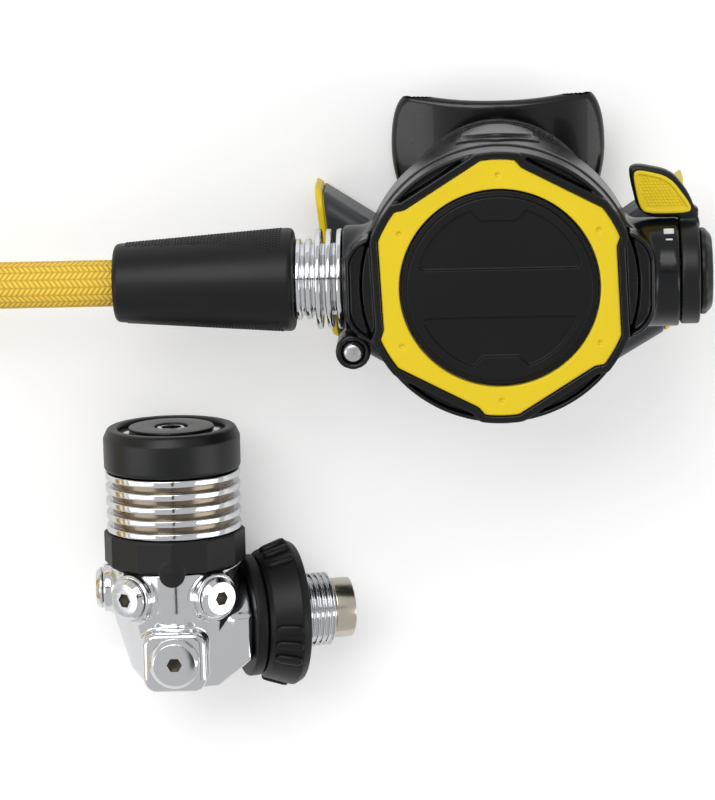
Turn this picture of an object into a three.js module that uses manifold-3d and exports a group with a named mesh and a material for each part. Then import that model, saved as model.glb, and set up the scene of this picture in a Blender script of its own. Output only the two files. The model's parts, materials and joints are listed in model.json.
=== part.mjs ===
// A diver's regulator set lying on a table: a second stage with its hose, and a first stage
// with a screw-in fitting.
// Millimetres, +Z up. The origin is the middle of the set's footprint, on the table.
import * as THREE from "three";
import { mergeVertices } from "three/addons/utils/BufferGeometryUtils.js";
import Module from "manifold-3d";

const wasm = await Module();
wasm.setup();

// Angles are in radians.
const degree = Math.PI / 180;
const quarterTurn = Math.PI / 2;
const fullTurn = Math.PI * 2;

// Counts
const wideSides = 36;
const roundSides = 20;
const springSides = 4;
const springStepsPerCoil = 8;
const smallSides = 12;
const pinSides = 8;
const oringSides = 6;
const hexSides = 6;
const bezelLobes = 6;

// Clearances that the whole set shares
const gap = 0.3;
const runningGap = 0.4;
const overrun = 1;

// How the two stages lie on the table
const secondStageX = 23.9;
const secondStageY = 40.7;
const secondStageLean = 10.3 * degree;
const secondStageFace = 2.5 * degree;
const secondStageSpin = 1.6 * degree;
const firstStageX = -66.4;
const firstStageY = -88.1;
const firstStageYaw = 1.2 * degree;
const firstStagePitch = 1 * degree;
const firstStageRoll = 7.5 * degree;

// Second stage, measured from the middle of its cover's front: x to the knob, y to the
// mouthpiece, z out of the cover
const coverRadius = 29;
const coverStep = 1.2;
const coverStepRadius = 26.9;
const coverThickness = 2.6;
const coverRecess = 1;
const coverRecessRadius = 24;
const coverBand = 6.8;
const coverNotchWidth = 19;
const coverNotchDepth = 3.2;
const coverNotchSlope = 2.4;
const coverFlangeRadius = 30.4;
const coverFlangeThickness = 1.2;
const coverBossRadius = 6;

const bezelLobeRadius = 38.2;
const bezelChord = 34.3;
const bezelLobeHalfAngle = 7.5 * degree;
const bezelStepAngle = 3.5 * degree;
const bezelThickness = 2.2;
const bezelSink = 0.4;
const dimpleRadius = 1;
const dimpleDepth = 0.6;
const dimplePitchRadius = 33.6;

const ringRadius = 40.5;
const ringBore = 30.8;
const ringDepth = 9.9;
const ringPocket = 37.9;
const ringPocketDepth = 3.4;
const ringLedge = 6.2;
const threadRadius = 36;
const diaphragmThickness = 1;
const diaphragmHole = 17;
const diaphragmFold = 1.4;
const plateThickness = 1.2;

const caseRadius = 41;
const caseWall = 2.6;
const caseFront = 10.6;
const caseTaperStart = 30;
const caseRear = 55;
const neckRadius = 27.5;
const bulgeReach = 45.4;
const bulgeHalfHeight = 16;
const bulgeCorner = 10;
const bulgeFront = 4.1;
const bulgeRear = 29.6;
const barrelDepth = 21;
const leftBarrelRadius = 15.9;
const leftBarrelStep = 0.9;
const leftBarrelReach = bulgeReach + leftBarrelStep;
const rightBarrelRadius = 16.2;
const rightBarrelStep = 7.5;
const rightBarrelReach = bulgeReach + rightBarrelStep;
const pinX = -43.8;
const pinY = -19.5;
const pinRadius = 3.3;
const pinBossRadius = 5.2;
const pinBossFront = 6;
const pinBossRear = 20;
const spigotY = 24;
const spigotHalfWidth = 15;
const spigotHalfHeight = 8.5;
const spigotWall = 2.4;
const spigotLength = 8.6;
const exhaustPortRadius = 2.2;
const exhaustPortPitch = 5;
const exhaustValveRadius = 7.9;
const exhaustValveThickness = 0.9;
const exhaustStemRadius = 1.5;
const exhaustHeadRadius = 2.4;
const exhaustDepth = 44;
const exhaustLift = 0.4;
const exhaustHeadDepth = 4.9;
const exhaustDrill = 7.8;

const badgeHalfWidth = 11;
const badgeHalfDepth = 9.5;
const badgeDepth = 31;
const badgeThickness = 0.8;
const badgeOverhang = 4;

// The valve that runs across the case, along x
const valveTubeRadius = 7.6;
const valveTubeBore = 5.6;
const valveTubeOverhang = 12.9;
const valveTubeLeft = leftBarrelReach + valveTubeOverhang;
const valveTubeInset = 10.9;
const valveTubeRight = rightBarrelReach - valveTubeInset;
const slotHalfLength = 6;
const slotHalfWidth = 4.4;
const seatRadius = 5.3;
const seatBore = 2.2;
const seatLength = 12;
const seatFace = -32;
const poppetRadius = 4.6;
const poppetLength = 22;
const poppetStemRadius = 2;
const poppetFlange = 1.5;
const springCoils = 7;
const springRadius = 3.9;
const springWire = 1;
const springLength = 13;
const screwRadius = 5.2;
const screwLength = 8;
const screwSlack = 1.3;
const screwSocket = 4;
const leverThickness = 1;
const leverHalfWidth = 4;
const leverPivotX = 10;
const leverPivotRadius = 1;
const leverArm = 18;
const leverLeg = 6;
const leverFork = 2.6;

// Right end: the air-flow lever and the breathing-effort knob
const leverRingRadius = 15.6;
const leverRingLength = 5.6;
const leverTubeRadius = 9.6;
const leverTubeLength = 23.9;
const leverTubeInner = rightBarrelReach - leverTubeLength;
const vaneLength = 7;
const vaneRadius = 10.2;
const vaneReach = 17;
const vaneThickness = 1.8;
const paddleInset = 14.7;
const paddleLeft = rightBarrelReach - paddleInset;
const paddleHeight = 16.2;
const paddleThickness = 5;
const paddleShares = [
  [0.16, 0],
  [0, 0.9],
  [0.12, 1],
  [0.62, 0.86],
  [0.87, 0.45],
  [1, 0],
];
const padThickness = 1.4;
const padShares = [
  [0.26, 0.1],
  [0.16, 0.27],
  [0.08, 0.83],
  [0.18, 0.88],
  [0.6, 0.73],
  [0.88, 0.22],
  [0.86, 0.1],
];
const knobRadius = 12.9;
const knobLength = 4;
const knobStemRadius = 5;
const knobScallops = 12;
const knobScallopRadius = 1.7;

// Left end: finned coupling, swivel nut, hose ferrule and sleeve
const finCoreRadius = 10.8;
const bigFinRadius = 15;
const smallFinRadius = 12.1;
const finThickness = 1.7;
const finPitch = 3.13;
const bigFins = 3;
const smallFins = 2;
const couplingThreadRadius = 8;
const couplingThreadLength = 5;
const couplingBore = 3;
const oringPocket = 2;
const oringWire = 1.6;
const nutRadius = 10;
const nutWall = 5.4;
const ferruleRadius = 9;
const ferruleLength = 18;
const ferruleNeckRadius = 6;
const ferruleFlange = 1.7;
const ferruleBore = 2.5;
const sleeveLength = 54;
const sleeveBigRadius = 15.6;
const sleeveSmallRadius = 11.7;
const sleeveChamfer = 2;
const sleeveBoreMargin = 0.6;
const hoseRadius = 7;

// Mouthpiece, strap and exhaust tee
const mouthTubeWall = 3.2;
const mouthTubeLength = 8.6;
const shieldHalfWidth = 33;
const shieldBottom = 9.5;
const shieldTop = 48;
const shieldThickness = 2.6;
const shieldBend = 7;
const shieldShares = [
  [0, 0.1],
  [0.42, 0.02],
  [0.7, 0],
  [0.9, 0.12],
  [1, 0.42],
  [1, 0.7],
  [0.95, 0.9],
  [0.86, 1],
  [0.76, 0.99],
  [0.38, 0.95],
  [0, 0.94],
];
const biteX = 19;
const biteWidth = 10;
const biteThickness = 3;
const biteLength = 11;
const biteFlange = 9;
const strapThickness = 1.4;
const strapWidth = 3.4;
const strapLock = 5;
const strapLockHeight = 4.2;

const teeRootX = 24;
const teeTipX = 51.5;
const teeWall = 2;
const teeRootBottom = -37;
const teeRootTop = 4;
const teeAhead = 11;
const teeRootDepth = 29;
const teeRootFront = exhaustDepth - teeAhead;
const teeRootRear = teeRootFront + teeRootDepth;
const teeTipBottom = -24;
const teeTipTop = 20;
const teeTipSetback = 14;
const teeTipDepth = 25;
const teeTipFront = teeRootFront + teeTipSetback;
const teeTipRear = teeTipFront + teeTipDepth;
const teeTipSkew = 2;
const teeCornerShare = 0.22;
const trimLength = 2.2;

// Hose beyond the sleeve and its coil on the table, in the set's own frame
const hoseSides = 10;
const hoseSteps = 9;
const hoseStraight = 69.5;
const hoseStraightShare = 0.9;
const hoseRoute = [
  [-152, 36.3, 27.3],
  [-168, 35.7, 21.3],
  [-181, 35.2, 15],
  [-190.5, 34.8, 10.5],
  [-198, 34.5, 7.9],
  [-204, 34.4, 7.2],
  [-208, 34.4, 7.2],
];
const coilRadius = 93;
const coilPitch = 35;
const coilTurns = 1.32;
const coilRise = 2;
const coilRiseShare = 0.6;
const coilLoopSteps = 24;
const coilSides = 6;
const endFerruleRadius = 8;
const endFerruleLength = 14;
const endHexWidth = 15;
const endHexLength = 7;
const endThreadRadius = 4.8;
const endThreadLength = 8;
const endBore = 2;

// First stage, standing on its base: z up its axis, x towards the screw-in fitting
const bodyRadius = 20.3;
const bodyHeight = 37.5;
const bodyShoulder = 25;
const bodyWaistRadius = 14.6;
const bodyWaist = 5;
const bodyBaseRadius = 11;
const bodyFacets = 16;
const portTurn = 15.5 * degree;
const inletPortHeight = 10.6;
const inletPlugRadius = 7.7;
const inletFace = 22.8;
const inletRearFace = 25.6;
const lpHeight = 29.8;
const lpAngles = [-37, 37, -88, -142];
const lpPlugRadius = 6.4;
const lpFace = 22.6;
const plugHead = 2;
const plugEdge = 0.5;
const plugThreadRadius = 4.4;
const plugThreadLength = 6;
const plugSocket = 4;
const plugSocketDepth = 1.6;
const bossMargin = 1;
const portBore = 1.6;
const collarHeight = 10;
const collarRadius = 21.4;
const collarFacets = 12;
const collarTab = 4;
const barrelHeight = 18.4;
const barrelRadius = 20.7;
const barrelGrooveRadius = 18.6;
const barrelGrooves = 4;
const barrelNeckRadius = 17;
const barrelBore = 13;
const capHeight = 13;
const capRadius = 21;
const capEdge = 1.6;
const capDish = 2.6;
const capDishRadius = 16.4;
const plateTips = 6;
const plateTipRadius = 15.8;
const plateRootRadius = 12.6;
const plateSheet = 0.9;
const capDiscRadius = 13.1;
const capDiscThickness = 1.2;
const adjustNutThickness = 6;
const adjustPostRadius = 4.9;
const adjustSocket = 6;
const adjustSocketDepth = 5;
const mainSpringRadius = 10.4;
const mainSpringWire = 2.4;
const mainSpringCoils = 4.5;
const padThicknessZ = 1.6;
const mainDiaphragmThickness = 1.2;
const chamberRadius = 12.4;
const chamberFloor = 24;
const lifterRadius = 9;
const lifterThickness = 1.6;
const lifterStemRadius = 1.6;
const poppetChamber = 4.2;
const poppetChamberFloor = 6;
const inletPoppetRadius = 3.8;
const inletPoppetLength = 14;
const inletPoppetTravel = 0.8;
const dinHeight = 18.4;
const dinBossRadius = 13.4;
const dinBossReach = 20.6;
const washerRadius = 18.9;
const washerThickness = 3.6;
const wheelLength = 12.6;
const wheelSmallRadius = 19.8;
const wheelBigRadius = 22.8;
const wheelCupRadius = 16.4;
const wheelCupDepth = 2.6;
const wheelHubRadius = 9.6;
const wheelEdge = 1.4;
const wheelRimEdge = 2.8;
const ribShift = 0.7;
const ribGroups = 4;
const ribsPerGroup = 3;
const ribPitch = 14 * degree;
const ribLength = 8.6;
const ribWidth = 2.7;
const ribHeight = 0.7;
const sleeveThreadRadius = 11.4;
const sleeveThreadDepth = 0.6;
const sleeveThreadCrests = 5;
const sleeveThreadLength = 10.4;
const stemRadius = 7.5;
const stemBore = 2.6;
const stemThreadRadius = 6.2;
const stemThreadLength = 7.4;
const noseRadius = 9.3;
const noseLength = 6.4;
const noseEdge = 0.8;
const noseGrooveRadius = 6.6;
const noseGrooveDepth = 1.2;
const filterRadius = 3.9;
const filterThickness = 2;

// Materials
function material(name, color, metalness, roughness) {
  const made = new THREE.MeshStandardMaterial({ color, metalness, roughness });
  made.name = name;
  return made;
}

const chrome = material("chrome", 0xd7dadd, 1, 0.12);
const steel = material("brushed steel", 0xb9bcc0, 1, 0.35);
const nickel = material("warm nickel", 0xb9a98c, 1, 0.3);
const brass = material("brass", 0xb08d4a, 1, 0.35);
const blackPlastic = material("black plastic", 0x141518, 0, 0.45);
const glossBlack = material("gloss black plastic", 0x0b0c0e, 0, 0.15);
const blackRubber = material("black rubber", 0x101113, 0, 0.75);
const greyRubber = material("grey black rubber", 0x3a4046, 0, 0.4);
const yellowPlastic = material("yellow plastic", 0xe6c322, 0, 0.4);
const yellowBraid = material("yellow braid", 0xefc850, 0, 0.8);
const clearRubber = material("silicone", 0xc9cdd0, 0, 0.4);

// Solids
function solid(shape) {
  if (!shape.isBufferGeometry) return shape;
  const loose = shape.index ? shape.toNonIndexed() : shape;
  const bare = new THREE.BufferGeometry();
  bare.setAttribute("position", loose.getAttribute("position"));
  const merged = mergeVertices(bare);
  const corners = merged.index.array;
  const kept = [];
  for (let i = 0; i < corners.length; i += 3) {
    const [a, b, c] = [corners[i], corners[i + 1], corners[i + 2]];
    if (a !== b && b !== c && c !== a) kept.push(a, b, c);
  }
  const vertProperties = merged.attributes.position.array;
  const made = manifoldOf(vertProperties, kept);
  if (made.volume() > 0) return made;
  return manifoldOf(vertProperties, kept.reverse());
}

function manifoldOf(vertProperties, corners) {
  const triVerts = new Uint32Array(corners);
  return new wasm.Manifold(new wasm.Mesh({ numProp: 3, vertProperties, triVerts }));
}

function join(...shapes) {
  return shapes.map(solid).reduce((all, next) => all.add(next));
}

function cut(shape, ...tools) {
  return tools.map(solid).reduce((rest, tool) => rest.subtract(tool), solid(shape));
}

function meet(a, b) {
  return solid(a).intersect(solid(b));
}

function geometryOf(shape) {
  const mesh = solid(shape).getMesh();
  const places = new Float32Array(mesh.numVert * 3);
  for (let i = 0; i < mesh.numVert; i++) {
    const start = i * mesh.numProp;
    places.set(mesh.vertProperties.subarray(start, start + 3), i * 3);
  }
  const geometry = new THREE.BufferGeometry();
  geometry.setAttribute("position", new THREE.BufferAttribute(places, 3));
  geometry.setIndex(new THREE.BufferAttribute(mesh.triVerts, 1));
  geometry.computeVertexNormals();
  return geometry;
}

function addPiece(group, name, finish, shape) {
  const mesh = new THREE.Mesh(geometryOf(shape), finish);
  mesh.name = name;
  group.add(mesh);
  return mesh;
}

// A profile of [radius, height] pairs, turned about z.
function turned(profile, sides = roundSides) {
  const points = profile.map(([radius, height]) => new THREE.Vector2(radius, height));
  points.push(points[0].clone());
  const geometry = new THREE.LatheGeometry(points, sides);
  geometry.rotateX(quarterTurn);
  return geometry;
}

function disc(radius, from, to, sides = roundSides) {
  const [low, high] = [Math.min(from, to), Math.max(from, to)];
  return turned([[0, low], [radius, low], [radius, high], [0, high]], sides);
}

function tube(outer, inner, from, to, sides = roundSides) {
  const [low, high] = [Math.min(from, to), Math.max(from, to)];
  return turned([[inner, low], [outer, low], [outer, high], [inner, high]], sides);
}

function box(width, height, depth, x, y, z) {
  return new THREE.BoxGeometry(width, height, depth).translate(x, y, z);
}

function prism(points, from, to) {
  const shape = new THREE.Shape(points.map(([x, y]) => new THREE.Vector2(x, y)));
  const made = new THREE.ExtrudeGeometry(shape, { depth: to - from, bevelEnabled: false });
  return made.translate(0, 0, from);
}

function oval(halfWidth, halfHeight, from, to, middleY = 0, sides = roundSides) {
  const shape = disc(1, from, to, sides);
  return shape.scale(halfWidth, halfHeight, 1).translate(0, middleY, 0);
}

// A rectangle with round corners.
function roundedBlock(halfWidth, halfHeight, corner, from, to) {
  const points = [];
  for (const quarter of [0, 1, 2, 3]) {
    for (const share of [0, 0.5, 1]) {
      const middle = quarterTurn * (quarter + 0.5);
      const angle = quarterTurn * (quarter + share);
      const x = Math.sign(Math.cos(middle)) * (halfWidth - corner) + corner * Math.cos(angle);
      const y = Math.sign(Math.sin(middle)) * (halfHeight - corner) + corner * Math.sin(angle);
      points.push([x, y]);
    }
  }
  return prism(points, from, to);
}

function alongX(geometry, middleZ = 0) {
  return geometry.rotateY(quarterTurn).translate(0, 0, middleZ);
}

function warp(geometry, bend) {
  const places = geometry.getAttribute("position");
  const point = new THREE.Vector3();
  for (let i = 0; i < places.count; i++) {
    point.fromBufferAttribute(places, i);
    bend(point);
    places.setXYZ(i, point.x, point.y, point.z);
  }
  return geometry;
}

function hexagon(acrossFlats, from, to) {
  return disc(acrossFlats / Math.sqrt(3), from, to, hexSides);
}

function mix(a, b, share) {
  return a + (b - a) * share;
}

// A tube along a curve, with square ends.
function pipe(curve, radius, steps, sides) {
  const section = [];
  for (let i = 0; i < sides; i++) {
    const angle = (i * fullTurn) / sides;
    section.push(new THREE.Vector2(radius * Math.cos(angle), radius * Math.sin(angle)));
  }
  return new THREE.ExtrudeGeometry(new THREE.Shape(section), { steps, extrudePath: curve });
}

class SpringCurve extends THREE.Curve {
  constructor(radius, length, coils) {
    super();
    this.radius = radius;
    this.length = length;
    this.coils = coils;
  }

  getPoint(share, target = new THREE.Vector3()) {
    const angle = share * this.coils * fullTurn;
    const [x, y] = [this.radius * Math.cos(angle), this.radius * Math.sin(angle)];
    return target.set(x, y, share * this.length);
  }
}

function spring(radius, wire, from, length, coils) {
  const middle = new SpringCurve(radius, length - wire, coils);
  const steps = Math.round(coils * springStepsPerCoil);
  return pipe(middle, wire / 2, steps, springSides).translate(0, 0, from + wire / 2);
}

// Second stage
const secondStage = new THREE.Group();

// The case narrows from a full circle behind the front ring to the neck, whose top stays in line with it.
function caseShell(inset, from, to) {
  const [rear, front] = [Math.min(from, to), Math.max(from, to)];
  const profile = [[0, rear], [1, rear], [1, -caseTaperStart], [1, front], [0, front]];
  return warp(turned(profile, wideSides), (point) => {
    const share = Math.max(0, (-point.z - caseTaperStart) / (caseRear - caseTaperStart));
    const radius = mix(caseRadius, neckRadius, share) - inset;
    point.x *= radius;
    point.y = point.y * radius + (caseRadius - neckRadius) * share;
  });
}

function buildCover() {
  const flangeFront = -bezelSink - bezelThickness - gap;
  const flangeRear = flangeFront - coverFlangeThickness;
  const rear = -coverThickness;
  const profile = [
    [0, 0],
    [coverStepRadius, -coverStep / 2],
    [coverStepRadius + coverStep / 2, -coverStep],
    [coverRadius, -coverStep],
    [coverRadius, flangeFront],
    [coverFlangeRadius, flangeFront],
    [coverFlangeRadius, flangeRear],
    [coverStepRadius, flangeRear],
    [coverStepRadius, rear],
    [0, rear],
  ];
  const boss = disc(coverBossRadius, rear + gap, plateFront() + gap, smallSides);
  let cover = join(turned(profile, wideSides), boss);
  for (const side of [1, -1]) {
    cover = cut(cover, coverRecessTool(side));
  }
  addPiece(secondStage, "purge_cover", blackRubber, cover);
}

// One D-shaped recess of the cover, with a stepped notch in its round edge.
function coverRecessTool(side) {
  const points = [];
  const corner = Math.asin(coverBand / coverRecessRadius);
  const half = coverNotchWidth / 2;
  const notchCorner = Math.acos(half / coverRecessRadius);
  const arcSteps = 8;
  for (let i = 0; i <= arcSteps; i++) {
    const angle = mix(corner, notchCorner, i / arcSteps);
    points.push([coverRecessRadius * Math.cos(angle), coverRecessRadius * Math.sin(angle)]);
  }
  const notchTop = coverRecessRadius * Math.sin(notchCorner) - coverNotchDepth;
  points.push([half - coverNotchSlope, notchTop]);
  const mirrored = points.map(([x, y]) => [-x, y]).reverse();
  const outline = [...points, ...mirrored].map(([x, y]) => [x, y * side]);
  return prism(outline, -coverRecess - coverStep / 2, overrun);
}

// The yellow ring's outline: six lobes, each with one step down to the straight edge that follows it.
function bezelOutline(grow) {
  const points = [];
  for (let lobe = 0; lobe < bezelLobes; lobe++) {
    const middle = quarterTurn - (lobe * fullTurn) / bezelLobes;
    const lobeRadius = bezelLobeRadius + grow;
    for (const share of [-1, -0.5, 0, 0.5, 1]) {
      const angle = middle - share * bezelLobeHalfAngle;
      points.push([lobeRadius * Math.cos(angle), lobeRadius * Math.sin(angle)]);
    }
    const stepAngle = middle - bezelLobeHalfAngle - bezelStepAngle;
    const chordMiddle = middle - fullTurn / bezelLobes / 2;
    const stepRadius = (bezelChord + grow) / Math.cos(stepAngle - chordMiddle);
    points.push([stepRadius * Math.cos(stepAngle), stepRadius * Math.sin(stepAngle)]);
  }
  return points.reverse();
}

function buildBezel() {
  const front = -bezelSink;
  const rear = front - bezelThickness;
  let bezel = cut(
    prism(bezelOutline(0), rear, front),
    disc(coverRadius + gap, rear - overrun, front + overrun, wideSides),
  );
  for (let i = 0; i < bezelLobes; i++) {
    const angle = quarterTurn + (i * fullTurn) / bezelLobes;
    const dimple = new THREE.ConeGeometry(dimpleRadius, 2 * dimpleDepth, pinSides);
    dimple.rotateX(-quarterTurn);
    const [x, y] = [dimplePitchRadius * Math.cos(angle), dimplePitchRadius * Math.sin(angle)];
    bezel = cut(bezel, dimple.translate(x, y, front));
  }
  addPiece(secondStage, "bezel_ring", yellowPlastic, bezel);
}

function plateFront() {
  return -ringLedge - diaphragmThickness - gap;
}

function buildFrontRing() {
  const bezelSeat = -bezelSink - bezelThickness - gap;
  const front = -bezelSink - gap;
  const rear = front - ringDepth;
  const ledge = -ringLedge;
  const profile = [
    [ringBore, front],
    [ringBore, ledge],
    [threadRadius + runningGap, ledge],
    [threadRadius + runningGap, rear],
    [ringRadius, rear],
    [ringRadius, front - overrun],
    [ringRadius - overrun, front],
  ];
  let ring = cut(
    turned(profile, wideSides),
    prism(bezelOutline(gap), bezelSeat, overrun),
  );
  for (let i = 0; i < bezelLobes; i++) {
    const angle = (i * fullTurn) / bezelLobes;
    const width = ringRadius - ringPocket + overrun;
    const tool = box(width, ringRadius, 2 * ringPocketDepth, ringPocket + width / 2, 0, front);
    ring = cut(ring, tool.rotateZ(angle));
  }
  addPiece(secondStage, "front_ring", blackPlastic, ring);
}

function buildDiaphragm() {
  const front = -ringLedge - gap;
  const rear = front - diaphragmThickness;
  const foldRadius = (diaphragmHole + threadRadius) / 2;
  const profile = [
    [diaphragmHole, front],
    [foldRadius - diaphragmFold, front],
    [foldRadius, front - diaphragmFold],
    [foldRadius + diaphragmFold, front],
    [threadRadius, front],
    [threadRadius, rear],
    [foldRadius + diaphragmFold, rear],
    [foldRadius, rear - diaphragmFold],
    [foldRadius - diaphragmFold, rear],
    [diaphragmHole, rear],
  ];
  addPiece(secondStage, "diaphragm", clearRubber, turned(profile));
  const plateRear = plateFront() - plateThickness;
  const plate = disc(diaphragmHole - gap, plateRear, plateFront(), wideSides);
  addPiece(secondStage, "diaphragm_plate", blackPlastic, plate);
}

function caseThreadFront() {
  return -ringLedge - 2 * gap - diaphragmThickness;
}

function buildCase() {
  const front = -caseFront - gap;
  const neckBore = threadRadius - caseWall;
  const neckRing = tube(threadRadius, neckBore, front - overrun, caseThreadFront(), wideSides);
  const bulge = roundedBlock(bulgeReach, bulgeHalfHeight, bulgeCorner, -bulgeRear, -bulgeFront);
  const left = onBarrel(disc(leftBarrelRadius, -leftBarrelReach, 0));
  const right = onBarrel(disc(rightBarrelRadius, 0, rightBarrelReach));
  const pinBoss = disc(pinBossRadius, -pinBossRear, -pinBossFront, smallSides).translate(pinX, pinY, 0);
  const outer = cut(
    join(caseShell(0, -caseRear, front), bulge, left, right, pinBoss),
    disc(ringRadius + runningGap, front, overrun, wideSides),
  );
  const rearWall = -caseRear + caseWall;
  const hollow = caseShell(caseWall, rearWall, front - caseWall);
  const mouth = disc(neckBore, front - caseWall - overrun, overrun, wideSides);
  const spigotHole = oval(
    spigotHalfWidth + gap,
    spigotHalfHeight + gap,
    -caseRear - overrun,
    rearWall + overrun,
    spigotY,
  );
  const shell = join(cut(outer, hollow, mouth), neckRing);
  const lineStart = -leftBarrelReach - overrun;
  const lineLeft = onBarrel(disc(valveTubeRadius + gap, lineStart, 0));
  const lineRight = onBarrel(disc(leverTubeRadius + runningGap, 0, rightBarrelReach + overrun));
  const seatLeft = onBarrel(disc(oringSeat(), lineStart, -leftBarrelReach + oringPocket));
  const pinHole = disc(pinRadius + gap, -pinBossRear + overrun, overrun, smallSides);
  pinHole.translate(pinX, pinY, 0);
  const holes = [lineLeft, lineRight, seatLeft, spigotHole, pinHole, ...exhaustHoles()];
  addPiece(secondStage, "case", glossBlack, cut(shell, ...holes));
}

// The oval tube that the mouthpiece is pulled over, fitted in the case's rear wall
function buildSpigot() {
  const end = -caseRear - spigotLength;
  const start = -caseRear + caseWall;
  const outer = oval(spigotHalfWidth, spigotHalfHeight, end, start, spigotY);
  const boreWidth = spigotHalfWidth - spigotWall;
  const boreHeight = spigotHalfHeight - spigotWall;
  const bore = oval(boreWidth, boreHeight, end - overrun, start + overrun, spigotY);
  addPiece(secondStage, "mouth_spigot", blackPlastic, cut(outer, bore));
}

// The exhaust port sits in the lower slope of the case. This places a shape whose z leaves the slope.
function onSlope(geometry) {
  const drop = 2 * (caseRadius - neckRadius);
  const slope = Math.atan2(drop, caseRear - caseTaperStart);
  const share = (exhaustDepth - caseTaperStart) / (caseRear - caseTaperStart);
  const low = -mix(caseRadius, neckRadius, share) + (caseRadius - neckRadius) * share;
  return geometry.rotateX(quarterTurn + slope).translate(0, low, -exhaustDepth);
}

function exhaustHoles() {
  const holes = [];
  const ports = 4;
  for (let i = 0; i < ports; i++) {
    const angle = ((i + 0.5) * fullTurn) / ports;
    const hole = disc(exhaustPortRadius, -exhaustDrill, exhaustDrill, pinSides);
    hole.translate(exhaustPortPitch * Math.cos(angle), exhaustPortPitch * Math.sin(angle), 0);
    holes.push(onSlope(hole));
  }
  holes.push(onSlope(disc(exhaustStemRadius + gap, -exhaustDrill, exhaustDrill, pinSides)));
  return holes;
}

function buildExhaustValve() {
  const seat = gap + exhaustLift;
  const headEnd = -exhaustHeadDepth - exhaustValveThickness;
  const valve = join(
    disc(exhaustValveRadius, seat, seat + exhaustValveThickness, smallSides),
    disc(exhaustStemRadius, headEnd, seat + exhaustValveThickness / 2, pinSides),
    disc(exhaustHeadRadius, headEnd, -exhaustHeadDepth, pinSides),
  );
  const turnedValve = geometryOf(valve);
  addPiece(secondStage, "exhaust_valve", clearRubber, onSlope(turnedValve));
}

function buildBadge() {
  const panel = oval(badgeHalfWidth, badgeHalfDepth, -overrun, caseRadius, 0, smallSides);
  const column = panel.rotateX(-quarterTurn);
  column.translate(0, caseRadius / 2 + badgeOverhang, -badgeDepth);
  const outer = caseShell(-gap - badgeThickness, -caseRear, -caseFront);
  const inner = caseShell(-gap, -caseRear - overrun, -caseFront + overrun);
  addPiece(secondStage, "neck_badge", glossBlack, meet(cut(outer, inner), column));
}

function buildPin() {
  const pin = disc(pinRadius, -pinBossRear + overrun + gap, -pinBossFront + gap, smallSides);
  addPiece(secondStage, "locking_pin", steel, pin.translate(pinX, pinY, 0));
}

// Places along x where the pieces of the air line meet, from the case outwards
const couplingEnd = -leftBarrelReach - gap - finThickness - (bigFins + smallFins - 1) * finPitch;
const couplingMouth = couplingEnd - couplingThreadLength;
const ferruleFace = couplingMouth - gap;
const nutInnerWall = ferruleFace - ferruleFlange - gap;
const nutStart = couplingEnd - gap;
const nutEnd = nutInnerWall - nutWall;
const ferruleEnd = nutEnd - gap - ferruleLength;
const hoseStart = ferruleEnd - gap;
const sleeveStart = nutStart;
const sleeveEnd = sleeveStart - sleeveLength;
const poppetFront = seatFace + gap;
const flangeStart = leverPivotX + leverThickness / 2 + runningGap;
const springStart = flangeStart + poppetFlange + gap;
const screwStart = springStart + springLength + screwSlack;
const leverRingStart = rightBarrelReach + runningGap;
const leverRingEnd = leverRingStart + leverRingLength;
const knobStart = leverRingEnd + gap;

function oringSeat() {
  return valveTubeRadius + gap + oringWire + gap;
}

function onBarrel(geometry) {
  return alongX(geometry, -barrelDepth);
}

function oring(innerRadius, wire, from) {
  const profile = [];
  for (let i = 0; i < oringSides; i++) {
    const angle = (i * fullTurn) / oringSides;
    const middle = innerRadius + wire / 2;
    profile.push([middle + (wire / 2) * Math.cos(angle), from + (wire / 2) * (1 + Math.sin(angle))]);
  }
  return turned(profile, smallSides);
}

function buildValve() {
  const slot = box(
    2 * slotHalfLength,
    2 * slotHalfWidth,
    valveTubeRadius + overrun,
    leverPivotX,
    0,
    -barrelDepth + (valveTubeRadius + overrun) / 2,
  );
  const barrel = tube(valveTubeRadius, valveTubeBore, -valveTubeLeft, valveTubeRight, smallSides);
  addPiece(secondStage, "valve_barrel", brass, cut(onBarrel(barrel), slot));
  const seat = tube(seatRadius, seatBore, seatFace - seatLength, seatFace, smallSides);
  addPiece(secondStage, "orifice", steel, onBarrel(seat));
  const poppetHead = poppetFront + poppetLength;
  const poppet = [
    [0, poppetFront],
    [poppetRadius, poppetFront],
    [poppetRadius, poppetHead],
    [poppetStemRadius, poppetHead],
    [poppetStemRadius, flangeStart],
    [poppetRadius, flangeStart],
    [poppetRadius, flangeStart + poppetFlange],
    [0, flangeStart + poppetFlange],
  ];
  addPiece(secondStage, "poppet", blackPlastic, onBarrel(turned(poppet, smallSides)));
  const coil = spring(springRadius, springWire, springStart, springLength, springCoils);
  addPiece(secondStage, "poppet_spring", steel, onBarrel(coil));
  const screw = cut(
    disc(screwRadius, screwStart, screwStart + screwLength, smallSides),
    hexagon(screwSocket, screwStart + screwLength / 2, screwStart + screwLength + overrun),
  );
  addPiece(secondStage, "adjusting_screw", brass, onBarrel(geometryOf(screw)));
  const ring = oring(valveTubeRadius + gap, oringWire, -leftBarrelReach + gap / 2);
  addPiece(secondStage, "inlet_oring", blackRubber, onBarrel(ring));
}

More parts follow.
